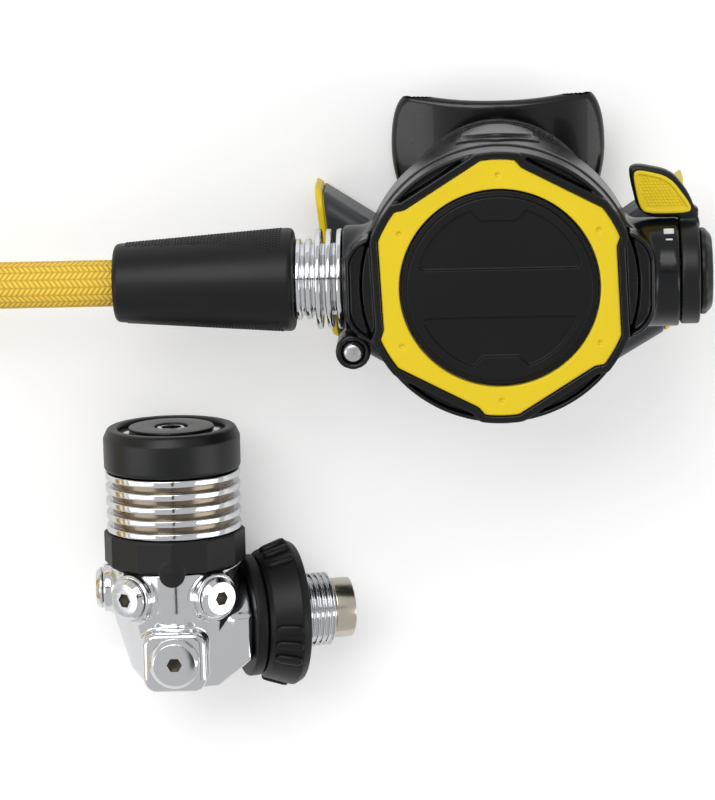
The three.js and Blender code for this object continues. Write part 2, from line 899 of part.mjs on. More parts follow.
function buildDemandLever() {
  const pivotZ = -barrelDepth + valveTubeRadius + leverPivotRadius + runningGap;
  const tipTop = plateFront() - plateThickness - gap;
  const tipX = leverPivotX - leverArm;
  const pivot = disc(leverPivotRadius, -leverHalfWidth, leverHalfWidth, pinSides);
  pivot.rotateX(quarterTurn).translate(leverPivotX, 0, pivotZ);
  const outline = [
    [leverPivotX, pivotZ - leverThickness / 2],
    [leverPivotX, pivotZ + leverThickness / 2],
    [tipX + 2 * leverThickness, tipTop],
    [tipX, tipTop],
    [tipX, tipTop - leverThickness],
    [tipX + 2 * leverThickness, tipTop - leverThickness],
  ];
  const arm = prism(outline, -leverHalfWidth / 2, leverHalfWidth / 2).rotateX(quarterTurn);
  const forkWidth = leverHalfWidth - leverFork;
  const legs = [1, -1].map((side) =>
    box(
      leverThickness,
      forkWidth,
      leverLeg,
      leverPivotX,
      side * (leverFork + forkWidth / 2),
      pivotZ - leverLeg / 2,
    ),
  );
  addPiece(secondStage, "demand_lever", steel, join(pivot, arm, ...legs));
}

function outlineFrom(shares, left, width, bottom, height) {
  return shares.map(([across, up]) => [left + across * width, bottom + up * height]);
}

function buildFlowLever() {
  const bore = valveTubeRadius + runningGap;
  const ring = onBarrel(tube(leverRingRadius, bore, leverRingStart, leverRingEnd));
  const paddleBottom = Math.max(rightBarrelRadius, bulgeHalfHeight) + runningGap;
  const width = leverRingEnd - paddleLeft;
  const outline = outlineFrom(paddleShares, paddleLeft, width, paddleBottom, paddleHeight);
  const rear = -barrelDepth - paddleThickness / 2;
  const front = rear + paddleThickness;
  const paddle = prism(outline, rear, front);
  const rootTop = paddleBottom + overrun;
  const rootLow = leverRingRadius - overrun;
  const root = box(
    leverRingLength,
    rootTop - rootLow,
    paddleThickness,
    leverRingStart + leverRingLength / 2,
    (rootTop + rootLow) / 2,
    -barrelDepth,
  );
  addPiece(secondStage, "venturi_lever", blackPlastic, join(ring, paddle, root));
  const padOutline = outlineFrom(padShares, paddleLeft, width, paddleBottom, paddleHeight);
  const pad = prism(padOutline, front + gap, front + gap + padThickness);
  addPiece(secondStage, "lever_pad", yellowPlastic, pad);
  const vaneEnd = leverTubeInner;
  const hub = onBarrel(tube(vaneRadius, bore, vaneEnd - vaneLength, vaneEnd, smallSides));
  const tubeEnd = leverRingStart - gap;
  const inner = onBarrel(tube(leverTubeRadius, bore, vaneEnd - overrun, tubeEnd, smallSides));
  const bladeLow = (bore + vaneRadius) / 2;
  const blade = box(
    vaneLength,
    vaneReach - bladeLow,
    vaneThickness,
    vaneEnd - vaneLength / 2,
    (vaneReach + bladeLow) / 2,
    -barrelDepth,
  );
  addPiece(secondStage, "venturi_vane", blackPlastic, join(hub, inner, blade));
}

function buildKnob() {
  let knob = disc(knobRadius, knobStart, knobStart + knobLength);
  for (let i = 0; i < knobScallops; i++) {
    const angle = ((i + 0.5) * fullTurn) / knobScallops;
    const [low, high] = [knobStart - overrun, knobStart + knobLength + overrun];
    const groove = disc(knobScallopRadius, low, high, pinSides);
    groove.translate(knobRadius * Math.cos(angle), knobRadius * Math.sin(angle), 0);
    knob = cut(knob, groove);
  }
  addPiece(secondStage, "adjusting_knob", blackPlastic, onBarrel(geometryOf(knob)));
  const stem = disc(knobStemRadius, screwStart + screwLength + gap, knobStart - gap, smallSides);
  addPiece(secondStage, "knob_stem", steel, onBarrel(stem));
}

function buildCoupling() {
  const start = -leftBarrelReach - gap;
  const profile = [[valveTubeRadius + gap, start], [finCoreRadius, start]];
  for (let i = 0; i < bigFins + smallFins; i++) {
    const radius = i < bigFins ? bigFinRadius : smallFinRadius;
    const edge = start - i * finPitch;
    profile.push([radius, edge], [radius, edge - finThickness]);
    if (i < bigFins + smallFins - 1) {
      profile.push([finCoreRadius, edge - finThickness - gap]);
      profile.push([finCoreRadius, edge - finPitch + gap]);
    }
  }
  profile.push(
    [couplingThreadRadius, couplingEnd],
    [couplingThreadRadius, couplingMouth],
    [couplingBore, couplingMouth],
    [couplingBore, -valveTubeLeft - gap],
    [valveTubeRadius + gap, -valveTubeLeft - gap],
  );
  addPiece(secondStage, "inlet_coupling", chrome, onBarrel(turned(profile)));
}

function buildHoseEnd() {
  const nutBore = couplingThreadRadius + runningGap;
  const nut = cut(
    disc(nutRadius, nutEnd, nutStart, hexSides),
    disc(nutBore, nutInnerWall, nutStart + overrun, smallSides),
    disc(ferruleNeckRadius + runningGap, nutEnd - overrun, nutStart, smallSides),
  );
  addPiece(secondStage, "swivel_nut", chrome, onBarrel(geometryOf(nut)));
  const ferrule = [
    [ferruleBore, ferruleFace],
    [couplingThreadRadius, ferruleFace],
    [couplingThreadRadius, ferruleFace - ferruleFlange],
    [ferruleNeckRadius, ferruleFace - ferruleFlange],
    [ferruleNeckRadius, nutEnd - gap],
    [ferruleRadius, nutEnd - gap],
    [ferruleRadius, ferruleEnd],
    [ferruleBore, ferruleEnd],
  ];
  addPiece(secondStage, "hose_ferrule", steel, onBarrel(turned(ferrule, smallSides)));
  const wide = nutRadius + sleeveBoreMargin;
  const narrow = hoseRadius + runningGap;
  const step = hoseStart - overrun;
  const sleeve = [
    [wide, sleeveStart],
    [sleeveBigRadius - sleeveChamfer, sleeveStart],
    [sleeveBigRadius, sleeveStart - sleeveChamfer],
    [sleeveSmallRadius, sleeveEnd + sleeveChamfer],
    [sleeveSmallRadius - sleeveChamfer, sleeveEnd],
    [narrow, sleeveEnd],
    [narrow, step - wide + narrow],
    [wide, step],
  ];
  addPiece(secondStage, "hose_sleeve", blackRubber, onBarrel(turned(sleeve)));
}

function buildMouthpiece() {
  const spigotEnd = -caseRear - spigotLength;
  const tubeStart = -caseRear - gap;
  const shieldFront = tubeStart - mouthTubeLength;
  const shieldRear = shieldFront - shieldThickness;
  const width = spigotHalfWidth + gap + mouthTubeWall;
  const height = spigotHalfHeight + gap + mouthTubeWall;
  const outer = oval(width, height, shieldFront - overrun, tubeStart, spigotY);
  const shieldHeight = shieldTop - shieldBottom;
  const half = outlineFrom(shieldShares, 0, shieldHalfWidth, shieldBottom, shieldHeight);
  const other = half.slice(1, -1).map(([x, y]) => [-x, y]).reverse();
  const shield = new THREE.ExtrudeGeometry(
    new THREE.Shape([...half, ...other].map(([x, y]) => new THREE.Vector2(x, y))),
    { depth: shieldThickness, bevelEnabled: false },
  );
  const middle = box(shieldHalfWidth, 2 * spigotHalfHeight, shieldThickness, 0, spigotY, 0);
  middle.translate(0, 0, shieldRear + shieldThickness / 2);
  shield.translate(0, 0, shieldRear);
  warp(shield, (point) => {
    point.z -= shieldBend * (point.x / shieldHalfWidth) ** 2;
  });
  const tabLength = biteLength + shieldThickness;
  const tabMiddle = shieldRear - biteLength / 2;
  const flangeMiddle = tabMiddle - tabLength / 2 + biteThickness / 2;
  const bites = [1, -1].flatMap((side) => [
    box(biteWidth, biteThickness, tabLength, side * biteX, spigotY, tabMiddle),
    box(biteWidth, biteFlange, biteThickness, side * biteX, spigotY, flangeMiddle),
  ]);
  const fittedWidth = spigotHalfWidth + gap;
  const fittedHeight = spigotHalfHeight + gap;
  const fitted = oval(fittedWidth, fittedHeight, spigotEnd - gap, overrun - caseRear, spigotY);
  const boreWidth = spigotHalfWidth - spigotWall;
  const boreHeight = spigotHalfHeight - spigotWall;
  const bore = oval(boreWidth, boreHeight, shieldRear - biteLength, overrun - caseRear, spigotY);
  const mouthpiece = cut(join(outer, shield, middle, ...bites), fitted, bore);
  addPiece(secondStage, "mouthpiece", blackRubber, mouthpiece);
  const strapFront = tubeStart - strapWidth / 2;
  const strapRear = strapFront - strapWidth;
  const around = gap + strapThickness;
  const band = cut(
    oval(width + around, height + around, strapRear, strapFront, spigotY),
    oval(width + gap, height + gap, strapRear - overrun, strapFront + overrun, spigotY),
  );
  const lockY = spigotY + height + around + strapThickness / 2;
  const lock = box(strapLock, strapLockHeight, strapWidth, 0, lockY, (strapFront + strapRear) / 2);
  addPiece(secondStage, "mouthpiece_strap", blackPlastic, join(band, lock));
}

// One side of the exhaust tee: a rectangular duct with soft corners that widens from the
// middle to its outlet.
function teeDuct(side, from, to, inset) {
  const corner = teeCornerShare;
  const section = [
    [corner, 0],
    [1 - corner, 0],
    [1, corner],
    [1, 1 - corner],
    [1 - corner, 1],
    [corner, 1],
    [0, 1 - corner],
    [0, corner],
  ];
  const shape = new THREE.Shape(section.map(([x, y]) => new THREE.Vector2(x, y)));
  const duct = new THREE.ExtrudeGeometry(shape, { depth: to - from, steps: 3, bevelEnabled: false });
  duct.translate(0, 0, from);
  return warp(duct, (point) => {
    const share = Math.max(0, (point.z - teeRootX) / (teeTipX - teeRootX));
    const up = point.x;
    const back = point.y;
    const low = mix(teeRootBottom, teeTipBottom, share) + inset;
    const high = mix(teeRootTop, teeTipTop, share) - inset;
    const front = mix(teeRootFront, teeTipFront, share) + inset;
    const rear = mix(teeRootRear, teeTipRear, share) - inset;
    const across = point.z + teeTipSkew * share * (2 * up - 1);
    point.set(side * across, mix(low, high, up), -mix(front, rear, back));
  });
}

function buildTee() {
  const outer = join(teeDuct(1, -overrun, teeTipX, 0), teeDuct(-1, -overrun, teeTipX, 0));
  const inner = join(
    teeDuct(1, -overrun, teeTipX + overrun, teeWall),
    teeDuct(-1, -overrun, teeTipX + overrun, teeWall),
  );
  const keepOff = caseShell(-gap, -caseRear - gap, -caseFront);
  addPiece(secondStage, "exhaust_tee", greyRubber, cut(outer, inner, keepOff));
  for (const [name, side] of [["tee_trim_left", -1], ["tee_trim_right", 1]]) {
    const start = teeTipX + gap;
    const trim = cut(
      teeDuct(side, start, start + trimLength, 0),
      teeDuct(side, start - overrun, start + trimLength + overrun, teeWall),
    );
    addPiece(secondStage, name, yellowPlastic, trim);
  }
}

buildCover();
buildBezel();
buildFrontRing();
buildDiaphragm();
buildCase();
buildSpigot();
buildExhaustValve();
buildBadge();
buildPin();
buildValve();
buildDemandLever();
buildFlowLever();
buildKnob();
buildCoupling();
buildHoseEnd();
buildMouthpiece();
buildTee();

// First stage
const firstStage = new THREE.Group();

// Turns a shape whose z points outwards to the direction of a port, at a height up the body.
function atPort(geometry, angle, height) {
  const front = -quarterTurn - portTurn;
  return geometry.rotateY(quarterTurn).rotateZ(front + angle).translate(0, 0, height);
}

const ports = [
  { name: "inlet_plug_front", angle: 0, height: inletPortHeight, radius: inletPlugRadius, face: inletFace },
  { name: "inlet_plug_rear", angle: Math.PI, height: inletPortHeight, radius: inletPlugRadius, face: inletRearFace },
  ...lpAngles.map((angle, i) => ({
    name: `lp_plug_${i + 1}`,
    angle: angle * degree,
    height: lpHeight,
    radius: lpPlugRadius,
    face: lpFace,
  })),
];

const dinStart = dinBossReach + runningGap;
const wheelStart = dinStart + washerThickness + runningGap;
const wheelEnd = wheelStart + wheelLength;
const threadEnd = wheelEnd + gap + sleeveThreadLength;
const noseStart = threadEnd + runningGap;
const noseEnd = noseStart + noseLength;
const diaphragmTop = bodyHeight + gap + mainDiaphragmThickness;
const collarBottom = bodyHeight + gap;
const finsBottom = collarBottom + collarHeight + gap;
const barrelTop = finsBottom + barrelHeight;
const capBottom = barrelTop + gap;
const capTop = capBottom + capHeight;

function buildBody() {
  const profile = [
    [0, 0],
    [bodyBaseRadius, 0],
    [bodyWaistRadius, bodyWaist],
    [bodyRadius, bodyShoulder],
    [bodyRadius, bodyHeight],
    [0, bodyHeight],
  ];
  let body = solid(turned(profile, bodyFacets));
  const dinBoss = disc(dinBossRadius, 0, dinBossReach);
  body = join(body, alongX(dinBoss, dinHeight));
  for (const port of ports) {
    const boss = disc(port.radius + bossMargin, 0, port.face - gap, smallSides);
    body = join(body, atPort(boss, port.angle, port.height));
  }
  for (const port of ports) {
    const inner = port.face - plugThreadLength - overrun;
    const threaded = disc(plugThreadRadius + gap, inner, port.face + overrun, smallSides);
    const narrow = disc(portBore, 0, port.face, pinSides);
    body = cut(body, atPort(threaded, port.angle, port.height), atPort(narrow, port.angle, port.height));
  }
  const stemEnd = dinStart - stemThreadLength;
  body = cut(
    body,
    disc(chamberRadius, chamberFloor, bodyHeight + overrun),
    disc(poppetChamber, poppetChamberFloor, chamberFloor + overrun, smallSides),
    alongX(disc(stemThreadRadius + gap, stemEnd - gap, dinBossReach + overrun, smallSides), dinHeight),
    alongX(disc(stemBore, 0, dinBossReach, pinSides), dinHeight),
  );
  addPiece(firstStage, "first_stage_body", chrome, body);
}

function buildPlugs() {
  for (const port of ports) {
    const head = port.face + plugHead;
    const profile = [
      [0, port.face - plugThreadLength],
      [plugThreadRadius, port.face - plugThreadLength],
      [plugThreadRadius, port.face],
      [port.radius, port.face],
      [port.radius, head - plugEdge],
      [port.radius - plugEdge, head],
      [0, head],
    ];
    const socket = hexagon(plugSocket, head - plugSocketDepth, head + overrun);
    const plug = geometryOf(cut(turned(profile, smallSides), socket));
    addPiece(firstStage, port.name, chrome, atPort(plug, port.angle, port.height));
  }
}

function buildSpringCase() {
  const membrane = disc(barrelNeckRadius, bodyHeight + gap, diaphragmTop);
  addPiece(firstStage, "main_diaphragm", blackRubber, membrane);
  const neckBottom = diaphragmTop + gap;
  const profile = [
    [barrelBore, neckBottom],
    [barrelNeckRadius, neckBottom],
    [barrelNeckRadius, finsBottom],
  ];
  const ridge = barrelHeight / (2 * barrelGrooves + 1);
  for (let i = 0; i <= barrelGrooves; i++) {
    const low = finsBottom + 2 * i * ridge;
    const high = low + ridge;
    profile.push([barrelRadius, low], [barrelRadius, high]);
    if (i === barrelGrooves) break;
    profile.push([barrelGrooveRadius, high], [barrelGrooveRadius, high + ridge]);
  }
  profile.push([barrelBore, barrelTop]);
  addPiece(firstStage, "spring_barrel", chrome, turned(profile));
  const collarTop = collarBottom + collarHeight;
  const front = -quarterTurn - portTurn;
  const tab = disc(collarTab, 0, collarRadius, smallSides);
  tab.rotateY(quarterTurn).rotateZ(front).translate(0, 0, collarBottom);
  const ring = join(disc(collarRadius, collarBottom, collarTop, collarFacets), tab);
  const lowCut = disc(bodyRadius + gap, collarBottom - 2 * collarTab, collarBottom);
  const bore = disc(barrelNeckRadius + runningGap, collarBottom - overrun, collarTop + overrun);
  addPiece(firstStage, "protector_collar", blackRubber, cut(ring, lowCut, bore));
}

function buildCap() {
  const floor = capTop - capDish;
  const postHole = adjustPostRadius + gap;
  const profile = [
    [postHole, capBottom],
    [capRadius, capBottom],
    [capRadius, capTop - capEdge],
    [capRadius - capEdge, capTop],
    [capDishRadius, capTop],
    [capDishRadius, floor],
    [postHole, floor],
  ];
  addPiece(firstStage, "cap", blackPlastic, turned(profile, wideSides));
  const star = [];
  for (let i = 0; i < plateTips * 2; i++) {
    const radius = i % 2 ? plateRootRadius : plateTipRadius;
    const angle = (i * fullTurn) / (plateTips * 2);
    star.push([radius * Math.cos(angle), radius * Math.sin(angle)]);
  }
  const plateTop = floor + gap + plateSheet;
  const plate = cut(prism(star, floor + gap, plateTop), disc(postHole, floor, capTop, smallSides));
  addPiece(firstStage, "cap_plate", chrome, plate);
  const topDisc = tube(capDiscRadius, postHole, plateTop + gap, plateTop + gap + capDiscThickness);
  addPiece(firstStage, "cap_disc", glossBlack, topDisc);
}

function buildSpringTrain() {
  const padBottom = diaphragmTop + gap;
  const padTop = padBottom + padThicknessZ;
  const fit = barrelBore - runningGap;
  addPiece(firstStage, "spring_pad", brass, disc(fit, padBottom, padTop, smallSides));
  const nutTop = barrelTop - gap;
  const nutBottom = nutTop - adjustNutThickness;
  const length = nutBottom - gap - padTop - gap;
  const coil = spring(mainSpringRadius, mainSpringWire, padTop + gap, length, mainSpringCoils);
  addPiece(firstStage, "main_spring", steel, coil);
  const postTop = capTop - gap;
  const nut = cut(
    join(disc(fit, nutBottom, nutTop, smallSides), disc(adjustPostRadius, nutBottom, postTop, hexSides)),
    hexagon(adjustSocket, postTop - adjustSocketDepth, postTop + overrun),
  );
  addPiece(firstStage, "adjusting_nut", chrome, nut);
  const lifterTop = bodyHeight;
  const seatBottom = poppetChamberFloor + gap + inletPoppetTravel;
  const seatTop = seatBottom + inletPoppetLength;
  const lifter = join(
    disc(lifterRadius, lifterTop - lifterThickness, lifterTop, smallSides),
    disc(lifterStemRadius, seatTop + gap, lifterTop, pinSides),
  );
  addPiece(firstStage, "diaphragm_lifter", brass, lifter);
  const poppet = disc(inletPoppetRadius, seatBottom, seatTop, smallSides);
  addPiece(firstStage, "inlet_poppet", steel, poppet);
}

function buildDin() {
  const onDin = (shape) => alongX(shape.isBufferGeometry ? shape : geometryOf(shape), dinHeight);
  const washer = tube(washerRadius, stemRadius + runningGap, dinStart, dinStart + washerThickness);
  addPiece(firstStage, "din_washer", blackRubber, onDin(washer));
  const hub = wheelHubRadius + gap;
  const rim = [
    [hub, wheelStart],
    [wheelSmallRadius - wheelEdge, wheelStart],
    [wheelSmallRadius, wheelStart + wheelEdge],
    [wheelBigRadius, wheelEnd - wheelRimEdge],
    [wheelBigRadius - wheelEdge, wheelEnd],
    [wheelCupRadius, wheelEnd],
    [wheelCupRadius - wheelEdge, wheelEnd - wheelCupDepth],
    [hub, wheelEnd - wheelCupDepth],
  ];
  let wheel = solid(turned(rim));
  const slope = Math.atan2(
    wheelBigRadius - wheelSmallRadius,
    wheelLength - wheelEdge - wheelRimEdge,
  );
  const ribRadius = (wheelSmallRadius + wheelBigRadius) / 2;
  for (let group = 0; group < ribGroups; group++) {
    for (let i = 0; i < ribsPerGroup; i++) {
      const angle = (group * fullTurn) / ribGroups + (i - (ribsPerGroup - 1) / 2) * ribPitch;
      const rib = new THREE.BoxGeometry(2 * ribHeight, ribWidth, ribLength);
      rib.rotateY(slope).translate(ribRadius, 0, wheelStart + wheelLength / 2 - ribShift);
      wheel = join(wheel, rib.rotateZ(angle + portTurn));
    }
  }
  addPiece(firstStage, "din_handwheel", blackRubber, onDin(wheel));
  const bore = stemRadius + runningGap;
  const sleeve = [
    [bore, wheelStart + gap],
    [wheelHubRadius, wheelStart + gap],
    [wheelHubRadius, wheelEnd + gap],
  ];
  const pitch = sleeveThreadLength / sleeveThreadCrests;
  for (let i = 0; i < sleeveThreadCrests; i++) {
    const low = wheelEnd + gap + i * pitch;
    sleeve.push([sleeveThreadRadius - sleeveThreadDepth, low]);
    sleeve.push([sleeveThreadRadius, low + pitch / 2]);
  }
  sleeve.push([sleeveThreadRadius - sleeveThreadDepth, threadEnd], [bore, threadEnd]);
  addPiece(firstStage, "din_thread_sleeve", chrome, onDin(turned(sleeve)));
  const stem = turned([
    [stemBore, dinStart - stemThreadLength],
    [stemThreadRadius, dinStart - stemThreadLength],
    [stemThreadRadius, dinStart],
    [stemRadius, dinStart],
    [stemRadius, noseStart],
    [noseRadius, noseStart],
    [noseRadius, noseEnd - noseEdge],
    [noseRadius - noseEdge, noseEnd],
    [stemBore, noseEnd],
  ]);
  const grooveInner = noseGrooveRadius - oringWire / 2 - gap;
  const grooveOuter = grooveInner + oringWire + 2 * gap;
  const groove = tube(grooveOuter, grooveInner, noseEnd - noseGrooveDepth, noseEnd + overrun);
  const pocket = disc(filterRadius + gap, noseEnd - noseLength, noseEnd + overrun, smallSides);
  addPiece(firstStage, "din_stem", nickel, onDin(cut(stem, groove, pocket)));
  const ringStart = noseEnd - noseGrooveDepth + gap / 2;
  const ring = oring(noseGrooveRadius - oringWire / 2, oringWire, ringStart);
  addPiece(firstStage, "din_nose_oring", blackRubber, onDin(ring));
  const filterStart = noseEnd - noseLength + gap;
  const filter = disc(filterRadius, filterStart, filterStart + filterThickness, smallSides);
  addPiece(firstStage, "inlet_filter", steel, onDin(filter));
}

buildBody();
buildPlugs();
buildSpringCase();
buildCap();
buildSpringTrain();
buildDin();

// Lays both stages down, each lifted until its lowest point is on the table.
const set = new THREE.Group();
secondStage.rotation.set(secondStageFace, -secondStageLean, secondStageSpin, "YXZ");
secondStage.position.set(secondStageX, secondStageY, 0);
const laidDown = new THREE.Group();
firstStage.rotation.z = firstStageRoll;
laidDown.rotation.set(-quarterTurn - firstStagePitch, 0, firstStageYaw, "ZYX");
laidDown.position.set(firstStageX, firstStageY, 0);
laidDown.add(firstStage);
set.add(secondStage, laidDown);

for (const stage of [secondStage, laidDown]) {
  stage.position.z -= new THREE.Box3().setFromObject(stage, true).min.z;
}
const footprint = new THREE.Box3().setFromObject(set, true);
const middleX = (footprint.min.x + footprint.max.x) / 2;
const middleY = (footprint.min.y + footprint.max.y) / 2;

// The hose: straight behind its ferrule, down to the table, then one flat coil with the other end's fitting.
secondStage.updateMatrixWorld(true);

function hosePoint(x) {
  return secondStage.localToWorld(new THREE.Vector3(x, 0, -barrelDepth));
}

class Polyline extends THREE.CurvePath {
  constructor(points) {
    super();
    for (let i = 1; i < points.length; i++) {
      this.add(new THREE.LineCurve3(points[i - 1], points[i]));
    }
  }
}

function coilPoint(share) {
  const [startX, startY, startZ] = hoseRoute.at(-1);
  const angle = quarterTurn + share * coilTurns * fullTurn;
  const radius = coilRadius - coilPitch * coilTurns * share;
  const rise = coilRise * Math.max(0, (share - coilRiseShare) / (1 - coilRiseShare));
  const middle = startY - coilRadius;
  return new THREE.Vector3(
    startX - 2 * hoseRadius + radius * Math.cos(angle),
    middle + radius * Math.sin(angle),
    startZ + rise,
  );
}

function buildHose() {
  const start = hosePoint(hoseStart);
  const straightEnd = hosePoint(hoseStart - hoseStraight);
  const beforeEnd = hosePoint(hoseStart - hoseStraight * hoseStraightShare);
  const laid = hoseRoute.map(([x, y, z]) => new THREE.Vector3(x, y, z));
  const path = new THREE.CurvePath();
  path.add(new THREE.LineCurve3(start, beforeEnd));
  path.add(new THREE.CatmullRomCurve3([beforeEnd, straightEnd, ...laid.slice(0, -1)]));
  path.add(new THREE.LineCurve3(laid.at(-2), laid.at(-1)));
  addPiece(set, "hose", yellowBraid, pipe(path, hoseRadius, hoseSteps, hoseSides));

  const steps = Math.ceil(coilTurns * coilLoopSteps);
  const points = [laid.at(-1).clone().setX(laid.at(-1).x - gap)];
  for (let i = 0; i <= steps; i++) points.push(coilPoint(i / steps));
  const last = points.at(-1);
  const heading = last.clone().sub(points.at(-2)).setZ(0).normalize();
  points.push(last.clone().addScaledVector(heading, 2 * hoseRadius));
  console.log("least gap of the coil to itself, mm:", coilGap(points).toFixed(2));
  const coil = pipe(new Polyline(points), hoseRadius, points.length - 1, coilSides);
  addPiece(set, "hose_coil", yellowBraid, coil);
  buildHoseFitting(points.at(-1), heading);
}

// The least gap between turns, on points more than half a turn apart.
function coilGap(points) {
  let least = Infinity;
  points.forEach((a, i) => {
    points.slice(i + coilLoopSteps / 2).forEach((b) => {
      least = Math.min(least, a.distanceTo(b) - 2 * hoseRadius);
    });
  });
  return least;
}

function buildHoseFitting(start, heading) {
  const end = new THREE.Group();
  end.position.copy(start);
  end.quaternion.setFromUnitVectors(new THREE.Vector3(0, 0, 1), heading);
  const ferrule = tube(endFerruleRadius, endBore, gap, gap + endFerruleLength, smallSides);
  addPiece(end, "hose_end_ferrule", steel, ferrule);
  const hexStart = 2 * gap + endFerruleLength;
  const hexEnd = hexStart + endHexLength;
  const fitting = cut(
    join(
      hexagon(endHexWidth, hexStart, hexEnd),
      disc(endThreadRadius, hexEnd - overrun, hexEnd + endThreadLength, smallSides),
    ),
    disc(endBore, hexStart - overrun, hexEnd + endThreadLength + overrun, pinSides),
  );
  addPiece(end, "hose_end_fitting", chrome, fitting);
  addPiece(end, "hose_end_oring", blackRubber, oring(endThreadRadius + gap, oringWire, hexEnd + gap));
  set.add(end);
}

buildHose();
set.position.set(-middleX, -middleY, 0);

const part = new THREE.Group();
part.add(set);

export default part;
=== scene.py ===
"""The looks of a diver's regulator set that lies on a table: a second stage with its yellow
hose, and a chromed first stage with a screw-in fitting. Sizes of the pieces are in millimetres
in the frame of the stage that they belong to, and MM turns them into metres."""

import json
import math

import bpy
import numpy as np
from bpy.props import FloatProperty, FloatVectorProperty, PointerProperty
from mathutils import Matrix, Vector


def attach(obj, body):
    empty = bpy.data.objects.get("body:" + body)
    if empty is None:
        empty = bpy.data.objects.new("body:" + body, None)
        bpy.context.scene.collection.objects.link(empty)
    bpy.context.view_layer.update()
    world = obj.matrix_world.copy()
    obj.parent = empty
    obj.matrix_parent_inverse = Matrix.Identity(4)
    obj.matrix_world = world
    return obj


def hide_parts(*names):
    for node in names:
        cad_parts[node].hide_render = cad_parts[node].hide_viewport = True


bl_info = {
    "name": "Diver's regulator set",
    "version": (1, 0, 0),
    "blender": (4, 5, 0),
    "location": "View3D > Sidebar > Regulator",
    "description": "Builds the visible pieces of a regulator set around its frame",
    "category": "Object",
}

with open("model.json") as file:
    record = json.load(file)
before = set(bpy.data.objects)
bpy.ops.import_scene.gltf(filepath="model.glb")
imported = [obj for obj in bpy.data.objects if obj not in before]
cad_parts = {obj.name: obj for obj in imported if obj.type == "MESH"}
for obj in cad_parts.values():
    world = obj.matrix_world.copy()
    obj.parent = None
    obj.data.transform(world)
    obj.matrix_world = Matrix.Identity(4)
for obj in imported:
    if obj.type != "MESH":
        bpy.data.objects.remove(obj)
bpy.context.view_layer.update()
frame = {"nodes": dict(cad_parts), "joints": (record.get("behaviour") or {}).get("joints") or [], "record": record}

MM = 0.001
GAP = 0.3
JOINTS = {joint["name"]: joint for joint in frame["joints"]}

# Sizes of the second stage, from the middle of its cover: x to the knob, y to the mouthpiece,
# z out of the cover.
BARREL_DEPTH = 21
COVER_RADIUS = 29
RING_RADIUS = 40.5
RING_FRONT = -0.7
RING_REAR = -10.6
LOBES = 6
LOBE_RADIUS = 38.2
LOBE_HALF_ANGLE = math.radians(7.5)
STEP_ANGLE = math.radians(3.5)
CHORD = 34.3
BEZEL_FRONT = -0.4
BEZEL_REAR = -2.6
CASE_RADIUS = 41
CASE_FRONT = -10.9
CASE_TAPER = -30
CASE_REAR = -55
CASE_WALL = 2.6
NECK_RADIUS = 27.5
SPIGOT_Y = 24
EAR_REACH = 45.4
LEFT_END = -46.3
RIGHT_END = 52.9
LEVER_START = 53.3
LEVER_END = 58.9
KNOB_START = 59.2
TEE_TIP = 51.5
PADDLE_LEFT = 38.2
PADDLE_BOTTOM = 16.6
PADDLE_HEIGHT = 16.2
COUPLING_START = -46.6
FIN_PITCH = 3.13
FIN_THICKNESS = 1.7
NUT_START = -61.12
SLEEVE_LENGTH = 54
HOSE_START = -92.12
HOSE_RADIUS = 7

# Sizes of the first stage, from its base: z up its axis, x to the screw-in fitting.
PORT_TURN = math.radians(15.5)
PORT_FRONT = -math.pi / 2 - PORT_TURN
COLLAR_BOTTOM = 37.8
COLLAR_TOP = 47.8
FINS_BOTTOM = 48.1
FINS_HEIGHT = 18.4
CAP_BOTTOM = 66.8
CAP_HEIGHT = 13
LOW_PORT_HEIGHT = 10.6
LOW_PLUG_RADIUS = 7.7
FRONT_PORT_FACE = 22.8
REAR_PORT_FACE = 25.6
SIDE_PORT_HEIGHT = 29.8
SIDE_PLUG_RADIUS = 6.4
SIDE_PORT_FACE = 22.6
SIDE_PORT_ANGLES = (-37, 37, -88, -142)
PLUG_HEAD = 2
PLUG_THREAD_RADIUS = 4.3
PLUG_THREAD_LENGTH = 6
PLUG_CHAMFER = 1.3
SOCKET_RADIUS = 2.0
SOCKET_RIM = 2.7
SOCKET_DEPTH = 1.8
SPRING_BORE = 13
BARREL_NECK = 17
RIDGES = 5
RIDGE_RADIUS = 20.7
GROOVE_RADIUS = 18.6
DIN_HEIGHT = 18.4
DIN_AXIS_X = 30
DIN_BORE = 7.9
WASHER_START = 21
WASHER_END = 24.6
WASHER_RADIUS = 18.9
WHEEL_START = 25
WHEEL_LENGTH = 12.6
THREAD_TURNS = 6
THREAD_LENGTH = 10.4
THREAD_CREST = 11.4
THREAD_ROOT = 10.5

# The hose's route on the table, in metres in the part's frame
HOSE_ROUTE = [
    (-0.152, 0.0363, 0.0273),
    (-0.168, 0.0357, 0.0213),
    (-0.181, 0.0352, 0.0150),
    (-0.1905, 0.0348, 0.0105),
    (-0.198, 0.0345, 0.0079),
    (-0.204, 0.0344, 0.0072),
    (-0.208, 0.0344, 0.0072),
]
HOSE_STRAIGHT = 62.5
COIL_RADIUS = 0.093
COIL_PITCH = 0.035
COIL_TURNS = 1.32
COIL_RISE = 0.002
COIL_RISE_SHARE = 0.6
HOSE_LENGTH = 0.75
BRAID_COLUMNS = 18.0
STRAND_WIDTH = 1.6

# The camera's right and up in the part's frame
CAMERA_RIGHT = (0.9903, 0, 0.1391)
CAMERA_UP = (0.0263, 0.9819, -0.1872)

# Sides of turned pieces
ROUND_SIDES = 128
KNOB_SIDES = 192
WHEEL_SIDES = 144
PLUG_SIDES = 72
HEX_SIDES = 6


